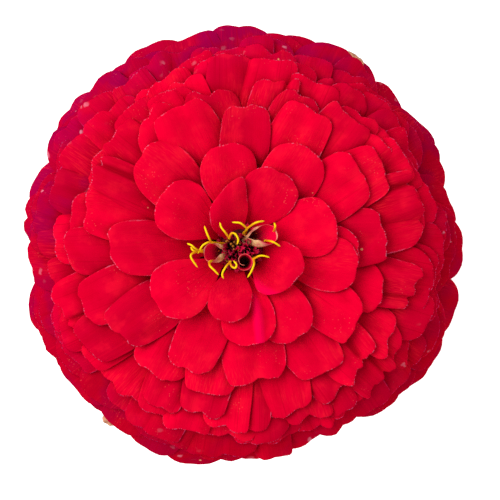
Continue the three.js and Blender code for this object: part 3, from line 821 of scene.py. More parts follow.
def add_blade(work, points, thickness, front=0, back=0, marks=None, along=None, across=None):
    """Adds a thin closed blade from a grid of points: its two faces meet along the outline. The
    rows lie at the shares along, from 0 to 1, and the columns at the shares across, from -1 to 1."""
    rows, columns = points.shape[:2]
    along = np.linspace(0, 1, rows) if along is None else along
    across = np.linspace(-1, 1, columns) if across is None else across
    u, v = along[:, None], across[None, :]
    swell = np.sqrt(np.clip(1 - np.abs(v) ** 8, 0, 1)) * np.sqrt(np.clip(1 - u**30, 0, 1))
    offset = normals_of(points) * (swell * thickness / 2)[..., None]
    inner = np.zeros((rows, columns), bool)
    inner[1:-1, 1:-1] = True
    offset[~inner] = 0
    upper_index = np.arange(rows * columns).reshape(rows, columns)
    lower_index = upper_index.copy()
    lower_index[inner] = rows * columns + np.arange(inner.sum())
    marks = {
        name: np.concatenate([value.ravel(), value[inner]]) if np.ndim(value) else value
        for name, value in (marks or {}).items()
    }
    vertices = np.concatenate([(points - offset).reshape(-1, 3), (points + offset)[inner]])
    share = (across + 1) / 2
    upper, uvs = grid_faces(rows, columns, upper_index, along, share)
    lower, _ = grid_faces(rows, columns, lower_index, along, share)
    faces = np.concatenate([upper, lower[:, ::-1]])
    slots = np.repeat([front, back], len(upper))
    work.add(vertices, faces, np.concatenate([uvs, uvs[:, ::-1]]), slots, marks)


def add_tube(work, path, radii, sides=10, slot=0, marks=None, section=None):
    """Adds a closed tube along a path, with rounded ends where its radii shrink to nothing."""
    path = np.asarray(path, float)
    along = unit(np.gradient(path, axis=0))
    side = np.cross(along[0], [0.0, 0.0, 1.0] if abs(along[0][2]) < 0.9 else [1.0, 0.0, 0.0])
    turn = np.linspace(0, 2 * math.pi, sides, endpoint=False)
    ripple = np.ones(sides) if section is None else section(turn)
    rings = []
    for point, heading, radius in zip(path, along, radii):
        side = unit(side - heading * np.dot(side, heading))
        other = np.cross(heading, side)
        ring = np.cos(turn)[:, None] * side + np.sin(turn)[:, None] * other
        rings.append(point + ring * (radius * ripple)[:, None])
    points = np.concatenate([*rings, path[:1], path[-1:]])
    index = np.arange(len(path) * sides).reshape(len(path), sides)
    start_hub, end_hub = index.size, index.size + 1
    faces, uvs = ring_faces(index)
    start = fan(np.roll(index[0], -1), index[0], start_hub)
    end = fan(index[-1], np.roll(index[-1], -1), end_hub)
    end_uvs = np.broadcast_to([0.0, 1.0], (sides, 4, 2))
    all_uvs = np.concatenate([uvs[:, ::-1], np.zeros((sides, 4, 2)), end_uvs])
    work.add(points, np.concatenate([faces[:, ::-1], start, end]), all_uvs, slot, marks)


def add_lathe(work, middle, profile, sides, ripple=None, closed=False):
    """Adds a surface turned about an upright axis from [radius, height] points."""
    profile = np.asarray(profile, float)
    if closed:
        profile = np.concatenate([profile, profile[:1]])
    rows = len(profile)
    turn = np.linspace(0, 2 * math.pi, sides, endpoint=False)
    swell = np.ones((rows, sides)) if ripple is None else ripple(profile[:, 1:2], turn[None, :])
    radius = profile[:, :1] * swell
    height = np.broadcast_to(profile[:, 1:2], (rows, sides))
    points = turned(middle, radius, turn, height)
    index = np.arange(rows * sides).reshape(rows, sides)
    if closed:
        index[-1] = index[0]
        points = points[:-1]
    faces, uvs = ring_faces(index)
    work.add(points.reshape(-1, 3), faces[:, ::-1], uvs[:, ::-1], 0)


def curve_through(points, steps):
    """Points along a smooth curve through a few given ones."""
    given = np.asarray(points, float)
    padded = np.concatenate([2 * given[:1] - given[1:2], given, 2 * given[-1:] - given[-2:-1]])
    out = []
    for k in range(len(given) - 1):
        a, b, c, d = padded[k : k + 4]
        for t in np.linspace(0, 1, steps, endpoint=False):
            bent = 2 * b + (c - a) * t + (2 * a - 5 * b + 4 * c - d) * t**2
            out.append(0.5 * (bent + (3 * b - a - 3 * c + d) * t**3))
    out.append(given[-1])
    return np.array(out)


# The bloom's rays


def new_ray(reach, width, bearing, sink):
    """A ray whose tip lies on the dome, or sinks this far below it."""
    level = math.sqrt(1 - min(reach / RADIUS, 1) ** 2)
    tip_z = RIM_Z + DOME_HEIGHT * level - sink
    down = RIM_DOWN * (1 - level)
    return {"reach": reach, "width": width, "bearing": bearing, "tip_z": tip_z, "down": down}


def skirt_ray(number):
    """One of the rays under the rim, which sink and shorten as they go on round."""
    share = number / (SKIRT_COUNT - 1)
    return {
        "reach": mix(*SKIRT_REACH, share),
        "width": SKIRT_WIDTH,
        "bearing": SKIRT_FIRST_BEARING + math.degrees(GOLDEN_ANGLE) * number,
        "tip_z": RIM_Z - mix(*SKIRT_SINK, share),
        "down": mix(RIM_DOWN, 1, share),
    }


def vary(ray, draws):
    """Gives a ray the differences that its solid has. The third draw is for the solid's notch,
    which the lobes take the place of here."""
    ray["roll"] = draws(5, 8)
    ray["tip_turn"] = draws(-4, 4)
    draws()
    ray["arch"] = draws(0.9, 1.1)


def refine_ray(ray, draws):
    """Gives a ray what the solids go without: the outline of its tip, curls, a crease and a tone."""
    ray["deep_crease"] = CREASES.get((ray["reach"], ray["bearing"]), 0)
    ray["cap"] = (draws(0.72, 1.0), draws(0.72, 1.0))
    ray["cap_power"] = draws(2.0, 2.6)
    ray["ragged"] = 0.02
    ray["lobes"] = draws(0.1, 0.2) if draws() > 0.78 else draws(0.0, 0.04)
    ray["skew"] = draws(-0.12, 0.12)
    ray["twist"] = draws(-3, 3)
    if ray["reach"] < SMOOTH_REACH:
        ray["lobes"] *= 0.3
        ray["skew"] *= 0.4
        ray["twist"] *= 0.3
    ray["phase"] = draws(0, 2 * math.pi)
    ray["tone"] = draws()
    ray["fold"] = 0
    ray["withered"] = False
    ray["crown"] = CROWN
    ray["crease"] = 0.02
    ray["stand_off"] = 0.0
    if ray["reach"] > LOOSE_REACH and ray["down"] < OUTER_DOWN:
        ray["crown"] = draws(0.12, 0.42)
        ray["crease"] = draws(0.02, 0.06)
        ray["stand_off"] = draws(0.0, 0.7) + CREASE_STAND_OFF * bool(ray["deep_crease"])
        ray["cap"] = (draws(0.55, 1.0), draws(0.55, 1.0))
        ray["cap_power"] = draws(2.2, 3.4)
        ray["ragged"] = draws(0.02, 0.05)
        ray["bearing"] += draws(-2.5, 2.5)
        ray["width"] *= draws(0.82, 1.06)
        ray["reach"] *= draws(0.965, 1.02)
        ray["roll"] += draws(-7, 8)
        ray["tip_turn"] += draws(-16, 12)
    elif ray["down"] >= OUTER_DOWN:
        ray["width"] *= draws(1.02, 1.16)
    if ray["reach"] > DENTED_REACH:
        ray["reach"] *= 0.992
        for bearing, depth in DENTS:
            apart = degrees_apart(ray["bearing"], bearing)
            ray["reach"] -= depth * math.exp(-((apart / DENT_WIDTH) ** 2))


def list_rays():
    """Every ray: those of the solids in their order, the fillers and the withered ones."""
    draws = Draws(7)
    rays = [new_ray(reach, width, bearing, 0) for reach, width, bearing, _, _ in INNER]
    rays += [new_ray(reach, width, bearing, 0) for reach, width, bearings in WHORLS for bearing in bearings]
    for reach, width, bearings in RIM:
        rays += [new_ray(reach, width, bearing, draws(*RIM_SINKS)) for bearing in bearings]
    rays += [skirt_ray(number) for number in range(SKIRT_COUNT)]
    for ray in rays:
        vary(ray, draws)

    draws = Draws(19)
    added = []
    for reach, width, bearings in FILLERS:
        added += [new_ray(reach, width, bearing, draws(*FILLER_SINKS)) for bearing in bearings]
    reach, width, bearings, sinks = UNDER_RIM
    added += [new_ray(reach, width, bearing + draws(-5, 5), draws(*sinks)) for bearing in bearings]
    withered = [new_ray(*ray) for ray in WITHERED]
    added += withered
    for ray in added:
        vary(ray, draws)

    rays += added
    draws = Draws(23)
    for ray in rays:
        refine_ray(ray, draws)
    for ray, (_, _, _, tone, fold) in zip(rays, INNER):
        ray.update(tone=tone, fold=fold)
    for number, shape in INNER_SHAPES.items():
        rays[number].update(shape)
    for ray in withered:
        ray.update(WITHERED_SHAPE, withered=True)
    return rays


def ray_rows(rows):
    """Shares along a ray, far apart on its hidden foot and closer together towards its tip."""
    x = np.linspace(0, 1, rows)
    outer = np.clip((x - 0.15) / 0.85, 0, 1)
    return np.where(x < 0.15, x / 0.15 * 0.3, 0.3 + 0.7 * (1 - (1 - outer) ** 1.35))


def ray_columns(columns):
    """Shares across a ray, closer together towards its margins."""
    return np.sin(np.linspace(-1, 1, columns) * math.pi / 2)


def ray_corners(ray):
    """The four corners, reach and height, of the bend that a ray's middle line follows."""
    down = ray["down"]
    tip = np.array([ray["reach"], ray["tip_z"]])
    facing = max(math.cos(math.radians(ray["bearing"] - NEAR_BEARING)), 0)
    nearer = NEARER * facing**2 * (1 - smooth((ray["reach"] - 17) / 8))
    base_reach = mix(RAY_FOOT - nearer, CORE_FOOT_RADIUS - 2, down**0.6)
    base = np.array([base_reach, mix(CORE_TOP_Z + 1, CORE_FOOT_Z + 8, down**0.75)])
    rise = math.radians(mix(RISE_BY_EYE, RISE_AT_FOOT, down**0.55))
    drooping = float(smooth(down / 0.9))
    droop = math.radians(mix(DROOP_BY_EYE, DROOP_AT_FOOT, drooping) + ray["tip_turn"])
    handle = np.linalg.norm(tip - base) * 0.37 * ray["arch"]
    first = base + handle * np.array([math.cos(rise), math.sin(rise)])
    second = tip + handle * np.array([-math.cos(droop), math.sin(droop)])
    return np.array([base, first, second, tip])


def ray_lift(ray, t, v, half):
    """How far each point of a ray stands off the flat: the channel along its foot, the crown of
    its outer part, the groove in its middle, fine creases, a roll of its tip and its fold."""
    lift = CHANNEL * half * v**2 * (1 - smooth(t / 0.7))
    lift = lift - ray["crown"] * half * v**2 * smooth((t - 0.35) / 0.65)
    groove = 0.05 + 0.8 * ray["lobes"]
    lift = lift - groove * half * 0.3 * np.exp(-((v / 0.25) ** 2)) * smooth((t - 0.3) / 0.6)
    lift = lift + ray["crease"] * half * np.sin(6.5 * v + ray["phase"]) * smooth(t / 0.6)
    lift = lift + 0.09 * half * v * np.sin(7 * t + ray["phase"]) * smooth((t - 0.4) / 0.5)
    if ray["fold"]:
        ridge = np.exp(-(((v - ray["fold"]) / FOLD_WIDTH) ** 2))
        lift = lift + FOLD_HEIGHT * ridge * smooth(t / 0.5) * (1 - 0.6 * smooth((t - 0.8) / 0.2))
    return lift


def ray_points(ray, rows, columns):
    """The middle surface of a ray as a grid of points, from its foot to its tip."""
    corners = ray_corners(ray)
    base = corners[0]
    span = np.linalg.norm(corners[3] - base)
    along = ray_rows(rows)[:, None]
    v = ray_columns(columns)[None, :]
    slenderness = ray["width"] / 2 / (span * 1.08)
    cap = mix(*ray["cap"], (v + 1) / 2) * superellipse(v, ray["cap_power"])
    notch = ray["lobes"] * np.exp(-((v / 0.26) ** 2)) + ray["skew"] * v - 0.04
    ragged = ray["ragged"] * (np.sin(7 * v + ray["phase"]) + 0.4 * np.sin(19 * v + 3 * ray["phase"]))
    t = along * (1 - (cap + notch + ragged) * slenderness)

    here = np.stack([(1 - t) ** 3, 3 * (1 - t) ** 2 * t, 3 * (1 - t) * t**2, t**3], -1) @ corners
    heading = unit(np.stack([(1 - t) ** 2, 2 * (1 - t) * t, t**2], -1) @ np.diff(corners, axis=0))
    grown = float(smooth((ray["reach"] - 13) / 10))
    foot = mix(0.5, 0.2, grown)
    widest = mix(0.5, 0.68, grown)
    swell = foot + (1 - foot) * smooth(t / widest) - 0.1 * smooth((t - 0.72) / 0.28)
    half = ray["width"] / 2 * swell

    outward = level_way(math.radians(ray["bearing"]))
    normal = heading[..., :1] * UP - heading[..., 1:] * outward
    roll = math.radians(ray["roll"])
    lateral = math.cos(roll) * left_of(outward) + math.sin(roll) * normal
    swing = math.radians(ray["twist"]) * t * np.linalg.norm(here - base, axis=-1)
    points = CENTRE + here[..., :1] * outward + here[..., 1:] * UP
    points = points + (v * half + swing)[..., None] * lateral
    return points + ray_lift(ray, t, v, half)[..., None] * normal, np.broadcast_to(t, half.shape)


def neighbours(grid):
    """Nine copies of a grid, shifted so that each point meets itself and those round it."""
    rows, columns = grid.shape
    padded = np.pad(grid, 1, mode="edge")
    return [padded[a : a + rows, b : b + columns] for a in range(3) for b in range(3)]


class Drape:
    """How far out from the middle of the dome the rays laid so far reach, in every direction, so
    that each ray comes to lie on those below it."""

    # The map: what point it looks out from, its cells on a side, and how far over from straight up
    # it reaches, in radians.
    MIDDLE = CENTRE + np.array([0.0, 0.0, RIM_Z - 10])
    CELLS = 420
    SPAN = 2.3
    # How far clear of the others a ray is laid, and the most that it is lifted for that.
    CLEARANCE = 0.6
    MOST = 3.6
    # The share of a ray's length that lies hidden among the feet of the others.
    HIDDEN = 0.42

    def __init__(self):
        self.reach = np.zeros((self.CELLS, self.CELLS))
        self.around = self.reach

    def spots(self, points):
        """Where on the map points lie, how far from the middle, and which way."""
        arm = points - self.MIDDLE
        distance = np.linalg.norm(arm, axis=-1)
        polar = np.arccos(np.clip(arm[..., 2] / distance, -1, 1))
        bearing = np.arctan2(arm[..., 1], arm[..., 0])
        scale = self.CELLS / 2 / self.SPAN
        x = self.CELLS / 2 + polar * np.cos(bearing) * scale
        y = self.CELLS / 2 + polar * np.sin(bearing) * scale
        top = self.CELLS - 1.001
        return np.clip(x, 0, top), np.clip(y, 0, top), distance, unit(arm)

    def cells(self, points):
        """Which cells of the map points lie in, how far from the middle, and which way."""
        x, y, distance, outward = self.spots(points)
        return x.astype(int), y.astype(int), distance, outward

    def settle(self, points, t, stand_off):
        """Lifts a ray's outer part clear of what lies under it, then lays it."""
        i, j, distance, outward = self.cells(points)
        free = smooth((t - self.HIDDEN) / 0.14)
        need = np.clip(self.reach[i, j] + self.CLEARANCE - distance, 0, self.MOST) * (free > 0)
        spread = need.copy()
        for _ in range(3):
            near = neighbours(spread)
            spread = np.maximum(need, 0.5 * np.max(near, axis=0) + 0.5 * np.mean(near, axis=0))
        for _ in range(4):
            spread = np.mean(neighbours(spread), axis=0)
        lift = spread * free + stand_off * smooth((t - 0.6) / 0.4)
        points = points + outward * lift[..., None]
        self.lay(points, t)
        return points

    def lay(self, points, t):
        """Marks on the map what a ray covers, from a grid four times as fine as its own."""
        rows, columns = points.shape[:2]
        fine_rows = np.linspace(0, rows - 1, rows * 4)
        fine_columns = np.linspace(0, columns - 1, columns * 4)
        r0 = np.minimum(fine_rows.astype(int), rows - 2)
        c0 = np.minimum(fine_columns.astype(int), columns - 2)
        row_share = (fine_rows - r0)[:, None, None]
        column_share = (fine_columns - c0)[None, :, None]
        packed = np.concatenate([points, t[..., None]], -1)
        near = packed[r0][:, c0] * (1 - column_share) + packed[r0][:, c0 + 1] * column_share
        far = packed[r0 + 1][:, c0] * (1 - column_share) + packed[r0 + 1][:, c0 + 1] * column_share
        dense = near * (1 - row_share) + far * row_share
        shown = dense[..., 3] > self.HIDDEN
        i, j, distance, _ = self.cells(dense[..., :3])
        np.maximum.at(self.reach, (i[shown], j[shown]), distance[shown])

    def press(self, points, t, at):
        """Presses a crease into a ray, this share of the way across it."""
        v = ray_columns(points.shape[1])[None, :]
        depth = CREASE_DEPTH * np.exp(-(((v - at) / CREASE_WIDTH) ** 2)) * smooth((t - 0.2) / 0.4)
        return points - depth[..., None] * unit(points - self.MIDDLE)

    def even_out(self):
        """Keeps a blurred copy of the map, the level that nooks are measured from."""
        self.around = self.reach.copy()
        for _ in range(7):
            for axis in (0, 1):
                sides = np.roll(self.around, 1, axis) + np.roll(self.around, -1, axis)
                self.around = (sides + self.around) / 3

    def nook_shading(self, points):
        """How deep each point of a ray lies among the rays round it, from 0 to 1, which sets how much painted
        shade it gets.
        """
        x, y, distance, _ = self.spots(points)
        x, y = np.clip(x - 0.5, 0, None), np.clip(y - 0.5, 0, None)
        i, j = x.astype(int), y.astype(int)
        near = mix(self.around[i, j], self.around[i, j + 1], y - j)
        far = mix(self.around[i + 1, j], self.around[i + 1, j + 1], y - j)
        return smooth((mix(near, far, x - i) - distance - 0.05) / 1.1)


def ray_marks(ray, points, nook_shading):
    """The values that a ray's mesh carries for its materials."""
    middle_line = points[:, points.shape[1] // 2]
    shaded = math.exp(-((degrees_apart(ray["bearing"], SHADED_BEARING) / SHADED_WIDTH) ** 2))
    return {
        "tone": ray["tone"],
        # Painted shade on the outer rays towards SHADED_BEARING, added to how far down they are.
        "down": ray["down"] + SHADED_MORE * shaded * (ray["reach"] > SHADED_REACH),
        "cool": (0.5 + 0.5 * math.cos(math.radians(ray["bearing"] - COOL_BEARING))) ** 1.5,
        "length": np.linalg.norm(np.diff(middle_line, axis=0), axis=-1).sum(),
        "half_width": ray["width"] / 2,
        "nook_shade": nook_shading,
        "fold": (ray["fold"] + 1) / 2 if ray["fold"] else -1.0,
    }


def make_rays(face, back, withered):
    """The rays in five pieces, laid one on another from the skirt to the eye."""
    rays = list_rays()
    rays.sort(key=lambda ray: math.atan2(ray["reach"], ray["tip_z"] - Drape.MIDDLE[2]), reverse=True)
    drape = Drape()
    laid = []
    for ray in rays:
        columns = CREASE_COLUMNS if ray["deep_crease"] else FOLD_COLUMNS if ray["fold"] else PLAIN_COLUMNS
        points, t = ray_points(ray, RAY_ROWS, columns)
        points = drape.settle(points, t, ray["stand_off"])
        if ray["deep_crease"]:
            points = drape.press(points, t, ray["deep_crease"])
        laid.append(points)
    drape.even_out()
    works = {name: Patchwork() for name in [*PIECE_STARTS, "withered_rays"]}
    for ray, points in zip(rays, laid):
        name = next(name for name, start in PIECE_STARTS.items() if ray["down"] > start)
        work = works["withered_rays" if ray["withered"] else name]
        marks = ray_marks(ray, points, drape.nook_shading(points))
        shares = {"along": ray_rows(RAY_ROWS), "across": ray_columns(points.shape[1])}
        add_blade(work, points, RAY_THICKNESS, 0, 1, marks, **shares)
    for name, work in works.items():
        materials = [withered, withered] if name == "withered_rays" else [face, back]
        work.piece(name, materials, "bloom_rays", "petals")


def make_core(material):
    """The receptacle that the rays grow from: a blunt cone, hidden among their feet."""
    work = Patchwork()
    top = CORE_TOP_Z + 0.8
    heights = np.linspace(CORE_FOOT_Z + 0.4, top, 24)
    sunk = np.clip((top - heights) / 26, 0, 1)
    radii = mix(RAY_FOOT - 0.3, CORE_FOOT_RADIUS - 0.8, sunk**0.7)
    path = [CENTRE + [0, 0, z] for z in heights]
    add_tube(work, path, radii, 40, section=lambda turn: 1 + 0.02 * np.sin(13 * turn))
    work.piece("receptacle", [material], "bloom_rays", "petals")


# The disc

# Styles, in millimetres east and north of the eye: the foot of each one, its fork with the height
# of that over FORK_Z, then the run of each arm.
STYLES = [
    (
        (-3.6, 0.6),
        (-6.6, 1.1, 0),
        [[(-7, 2), (-7.6, 3.4), (-8.1, 4.8)], [(-7.4, 1), (-8.6, 0.2), (-9.6, -1.5)]],
    ),
    ((-3.9, -0.6), (-9.4, -0.8, 0), [[(-10.2, -0.3), (-11, 0.4), (-12, 0.8)]]),
    (
        (-3.9, -1.0),
        (-9.6, -1.0, 0),
        [[(-10.6, -0.8), (-11.2, 0.0)], [(-11, -1.6), (-11, -2.6), (-9.6, -4.7)]],
    ),
    (
        (-2.6, 1.6),
        (-2.5, 2.1, 0),
        [[(-3.4, 3.4), (-4.2, 4.4), (-4.6, 5.6)], [(-1.9, 3.1), (-1, 2.9), (-0.4, 1.7), (-0.6, 0.6)]],
    ),
    ((1, 3.2), (1.6, 4.2, 0), [[(0.6, 5.1), (-0.2, 5.5), (-1.8, 5.6)], [(3.2, 5.3), (4.3, 5.7), (5.5, 5.9)]]),
    ((4.2, 1.4), (7.8, 3.7, -3), [[(8.0, 4.6), (7.8, 5.5)]]),
    ((4.2, 0.3), (5.9, 1.5, -2.2), [[(7.1, 1.3), (8.2, 0.8), (9.2, 0.1)]]),
    (
        (2.6, -1.9),
        (3.1, -2.8, 0),
        [[(4.2, -2.1), (5.4, -2), (6.8, -2.4)], [(3.2, -3.9), (2.6, -5.5), (1.7, -7)]],
    ),
    (
        (-1.9, -2.6),
        (-2.3, -3.5, 0),
        [[(-3.2, -4.5), (-4, -6.1), (-3.7, -7.2)], [(-1.8, -4.5), (-1, -4.7), (-0.8, -3.9), (-1.5, -3.1)]],
    ),
    ((-3.4, -2.2), (-7.0, -3.4, 0), [[(-6.8, -4.3), (-5.8, -5.3), (-4.8, -6.4)]]),
]
FORK_Z = RIM_Z + DOME_HEIGHT + 0.4
# The radius of a style at its foot, along it and at its fork, and of an arm at its tip.
STYLE_FOOT_RADIUS = 0.55
STYLE_RADIUS = 0.34
FORK_RADIUS = 0.25
ARM_RADIUS = 0.19
# The ring of florets that the styles rise from, and the radii of each one from its foot up.
FLORET_COUNT = 30
FLORET_RADII = [0.22, 0.24, 0.26, 0.29, 0.32, 0.35, 0.34, 0.26, 0.08]

# Where the heart of the disc lies, east and north of the eye, and where the green unopened florets
# show between its bracts.
HEART_AT = (-0.1, -0.9)
HEART_RADIUS = 3.5
GREEN_SPOT = (-1.0, 0.35)
GREEN_RADIUS = 1.0
# Its bracts: where they start, how many, how long in the middle and at the edge, and how wide and
# how thick.
BRACTS_FOOT_Z = HEART_FOOT_Z - 0.8
BRACT_COUNT = 52
BRACT_LENGTHS = (3.3, 5.2)
BRACT_WIDTHS = (0.38, 0.72)
BRACT_THICKNESS = 0.13
# The green unopened florets, and the radii of each one from its foot up.
BUD_COUNT = 9
BUD_RADII = [0.2, 0.24, 0.27, 0.3, 0.33, 0.34, 0.3, 0.2, 0.03]
# The small bracts round the top of the core, among the feet of the innermost rays.
FRINGE_COUNT = 38
FRINGE_SIZE = 0.45

# Two furled rays, like boats: where the foot and the tip lie east and north of the eye and above
# the disc's floor, the radius of the hull, and how far each side curls up from its keel, in degrees
# at the foot, the middle and the tip: first the side to the left as seen from the foot.
BOATS = [
    ((-2.9, -1.5, 1.2), (-8.4, -1.2, 5.2), 2.15, (225, 175, 80), (230, 150, 80)),
    ((0.9, 1.3, 1.4), (8.5, 3.5, 5.6), 2.35, (172, 126, 64), (240, 165, 75)),
]
# The third is a scroll: where it stands, its radius and height, and how far round its first and
# its last margin are rolled, in degrees.
SCROLL_AT = (0.95, -3.45)
SCROLL_RADIUS = 1.95
SCROLL_HEIGHT = 5.9
SCROLL_TURNS = (170, 640)
# The floor that all three stand on, and how thick they are.
FURLED_FOOT_Z = HEART_FOOT_Z - 0.6
FURLED_THICKNESS = 0.2


def make_styles(material, floret):
    """The forked styles, each rising from a small floret at the edge of the disc."""
    work = Patchwork()
    draw = Draws(41)
    for foot_at, fork, arms in STYLES:
        level = FORK_Z + draw(-1.1, 0.3)
        foot = CENTRE + [*foot_at, STYLES_FOOT_Z + 0.2]
        top = CENTRE + np.array(fork) + [0, 0, level]
        shoulder = mix(foot, top, 0.72)
        shoulder[2] = mix(foot[2], top[2], 0.36)
        rise = curve_through([foot, shoulder, top], 10)
        radii = np.linspace(STYLE_RADIUS, FORK_RADIUS, len(rise))
        radii[:6] = np.linspace(STYLE_FOOT_RADIUS, STYLE_RADIUS, 6)
        add_tube(work, rise, radii, 10)
        for arm in arms:
            arch = draw(0.7, 1.7)
            run = [top - [0, 0, 0.1]]
            for k, (east, north) in enumerate(arm):
                share = (k + 1) / len(arm)
                height = level + arch * math.sin(share * 2.6) + draw(-0.1, 0.1)
                run.append(CENTRE + [east, north, height])
            path = curve_through(run, 8)
            share = np.linspace(0, 1, len(path))
            taper = mix(FORK_RADIUS, ARM_RADIUS, share) * np.sqrt(np.clip((1 - share) * 9 + 0.02, 0, 1))
            add_tube(work, path, taper, 10)
    add_florets(work, draw)
    work.piece("styles", [material, floret], "yellow_styles", "styles")


def add_florets(work, draw):
    """Adds the ring of florets that the styles rise from."""
    for k in range(FLORET_COUNT):
        bearing = 2 * math.pi * (k + draw(-0.2, 0.2)) / FLORET_COUNT
        reach = HEART_RADIUS + draw(-0.4, 0.2)
        lean = level_way(bearing)
        foot = CENTRE + [*HEART_AT, STYLES_FOOT_Z] + lean * reach
        head = foot + lean * draw(0.1, 0.6) + [0, 0, draw(0.9, 1.9)]
        path = curve_through([foot, (foot + head) / 2, head], 4)
        add_tube(work, path, FLORET_RADII, 8, slot=1)


def spiral(count, number, turned=0.0):
    """The share of the way out and the bearing of one of many points spread evenly on a disc."""
    return math.sqrt((number + 0.5) / count), GOLDEN_ANGLE * number + turned


def make_bracts(bract, floret, receptacle):
    """The crimson heart: a low dome under a thatch of toothed bracts, with green buds between."""
    work = Patchwork()
    draw = Draws(53)
    levels = np.linspace(0, 0.98, 10)
    middle = CENTRE + [*HEART_AT, 0]
    dome = [middle + [0, 0, BRACTS_FOOT_Z + 3 * level] for level in levels]
    add_tube(work, dome, HEART_RADIUS * np.sqrt(1 - levels**2), 28, slot=2, marks={"tone": 1.0})
    for k in range(BRACT_COUNT):
        share, bearing = spiral(BRACT_COUNT, k)
        place = level_way(bearing) * share * HEART_RADIUS * 0.92
        foot = middle + place + [0, 0, BRACTS_FOOT_Z + mix(2.8, 0.6, share)]
        from_eye = (foot - CENTRE)[:2]
        in_florets = math.hypot(*(from_eye - GREEN_SPOT)) < GREEN_RADIUS
        in_scroll = math.hypot(*(from_eye - SCROLL_AT)) < SCROLL_RADIUS * 0.95
        if in_florets or in_scroll:
            continue
        add_bract(work, foot, bearing + draw(-1.2, 1.2), share, draw)
    for k in range(FRINGE_COUNT):
        bearing = 2 * math.pi * (k + draw(-0.3, 0.3)) / FRINGE_COUNT
        place = level_way(bearing) * (RAY_FOOT - 0.45)
        foot = CENTRE + place + [0, 0, CORE_TOP_Z - draw(0.2, 1.6)]
        add_bract(work, foot, bearing + draw(-0.3, 0.3), 1, draw, FRINGE_SIZE)
    for k in range(BUD_COUNT):
        share, bearing = spiral(BUD_COUNT, k, 1)
        outward = level_way(bearing)
        foot = CENTRE + [*GREEN_SPOT, BRACTS_FOOT_Z + 2.2] + outward * share * 1.1
        head = foot + outward * 0.25 + [0, 0, draw(2.0, 3.2)]
        path = curve_through([foot, mix(foot, head, 0.6), head], 4)
        add_tube(work, path, BUD_RADII, 8, slot=1, marks={"tone": 0.5})
    work.piece("disc_bracts", [bract, floret, receptacle], "disc_heart", "disc")


def add_bract(work, foot, bearing, share, draw, size=1.0):
    """Adds one bract: a narrow keeled blade, toothed at its tip, that curls over at the top."""
    outward = level_way(bearing)
    length = mix(*BRACT_LENGTHS, share) * draw(0.85, 1.15) * size
    lean = mix(0.0, 0.25, share) + draw(-0.15, 0.15) + 0.8 * (1 - size)
    width = draw(*BRACT_WIDTHS)
    curl = draw(0.1, 0.75)
    u = np.linspace(0, 1, 11)[:, None]
    v = np.linspace(-1, 1, 9)[None, :]
    teeth = 1 - 0.2 * (0.5 + 0.5 * np.cos(v * 3 * math.pi + 9 * share)) - 0.2 * v**2
    t = u * teeth
    half = width * (0.6 + 0.4 * smooth(t / 0.5)) * (1 - 0.3 * smooth((t - 0.75) / 0.25))
    bend = curl * smooth((t - 0.45) / 0.55) * 2.2
    reach = length * (lean * t + 0.3 * (1 - np.cos(bend)))
    height = length * (t * (1 - 0.1 * lean) - 0.26 * (bend - np.sin(bend)))
    keel = 0.6 * half * np.abs(v) ** 1.5
    points = foot + reach[..., None] * outward + (v * half)[..., None] * left_of(outward)
    points = points + height[..., None] * UP - keel[..., None] * outward
    add_blade(work, points, BRACT_THICKNESS, marks={"tone": draw()})


def add_boat(work, foot, tip, radius, left, right, number):
    """Adds a young ray whose margins curl up and over, closed at its foot and open at its tip."""
    along = 1 - (1 - np.linspace(0, 1, 36)) ** 1.4
    across = ray_columns(41)
    u, v = along[:, None], across[None, :]
    t = u * (1 - 0.3 * superellipse(v, 2.2) - 0.012 * np.sin(6 * v + number))
    foot, tip = CENTRE + np.array(foot), CENTRE + np.array(tip)
    foot[2] += FURLED_FOOT_Z
    tip[2] += FURLED_FOOT_Z
    heading = unit(tip - foot)
    sideways = unit(np.cross(UP, heading))
    up = np.cross(heading, sideways)
    inner, outer = smooth(t / 0.5), smooth((t - 0.5) / 0.5)
    arcs = [np.radians(mix(mix(*curls[:2], inner), curls[2], outer)) for curls in (left, right)]
    turn = np.where(v > 0, v * arcs[0], v * arcs[1])
    hull = radius * mix(0.36, 1.0, smooth(t / 0.55))
    hull = hull * (1 - 0.2 * smooth((np.abs(turn) - 1.4) / 2))
    across_hull = hull * np.sin(turn)
    up_hull = hull * (1 - np.cos(turn)) * 0.85
    sag = 0.09 * np.linalg.norm(tip - foot) * np.sin(math.pi * t)
    points = foot + t[..., None] * (tip - foot)
    points = points + across_hull[..., None] * sideways + (up_hull - sag)[..., None] * up
    marks = {"shut": 0.0, "half_width": radius * 1.6, "length": 7.0}
    add_blade(work, points, FURLED_THICKNESS, 0, 1, marks, along, across)


def add_scroll(work):
    """Adds the young ray that stands rolled up, flaring a little at its mouth."""
    along = 1 - (1 - np.linspace(0, 1, 24)) ** 1.4
    across = np.linspace(-1, 1, 90)
    u, v = along[:, None], (across[None, :] + 1) / 2
    turn = np.radians(mix(*SCROLL_TURNS, v))
    inner = smooth((v - 0.55) / 0.4)
    radius = SCROLL_RADIUS * mix(mix(0.42, 1.0, u**1.6), mix(0.62, 0.42, u) * (1.45 - 0.6 * v), inner)
    height = SCROLL_HEIGHT * u * (1 - 0.04 * v) + 0.35 * u * np.sin(turn + 0.6)
    points = np.stack([radius * np.cos(turn), radius * np.sin(turn), height], -1)
    points = points + CENTRE + [*SCROLL_AT, FURLED_FOOT_Z]
    marks = {"shut": 1.0, "half_width": 4.5, "length": 6.0}
    add_blade(work, points, FURLED_THICKNESS, 0, 1, marks, along, across)


def make_furled(face, back):
    """The three young rays still furled at the edge of the disc."""
    work = Patchwork()
    for number, boat in enumerate(BOATS):
        add_boat(work, *boat, number)
    add_scroll(work)
    work.piece("furled_rays", [face, back], "disc_heart", "petals")


# The leafy stem

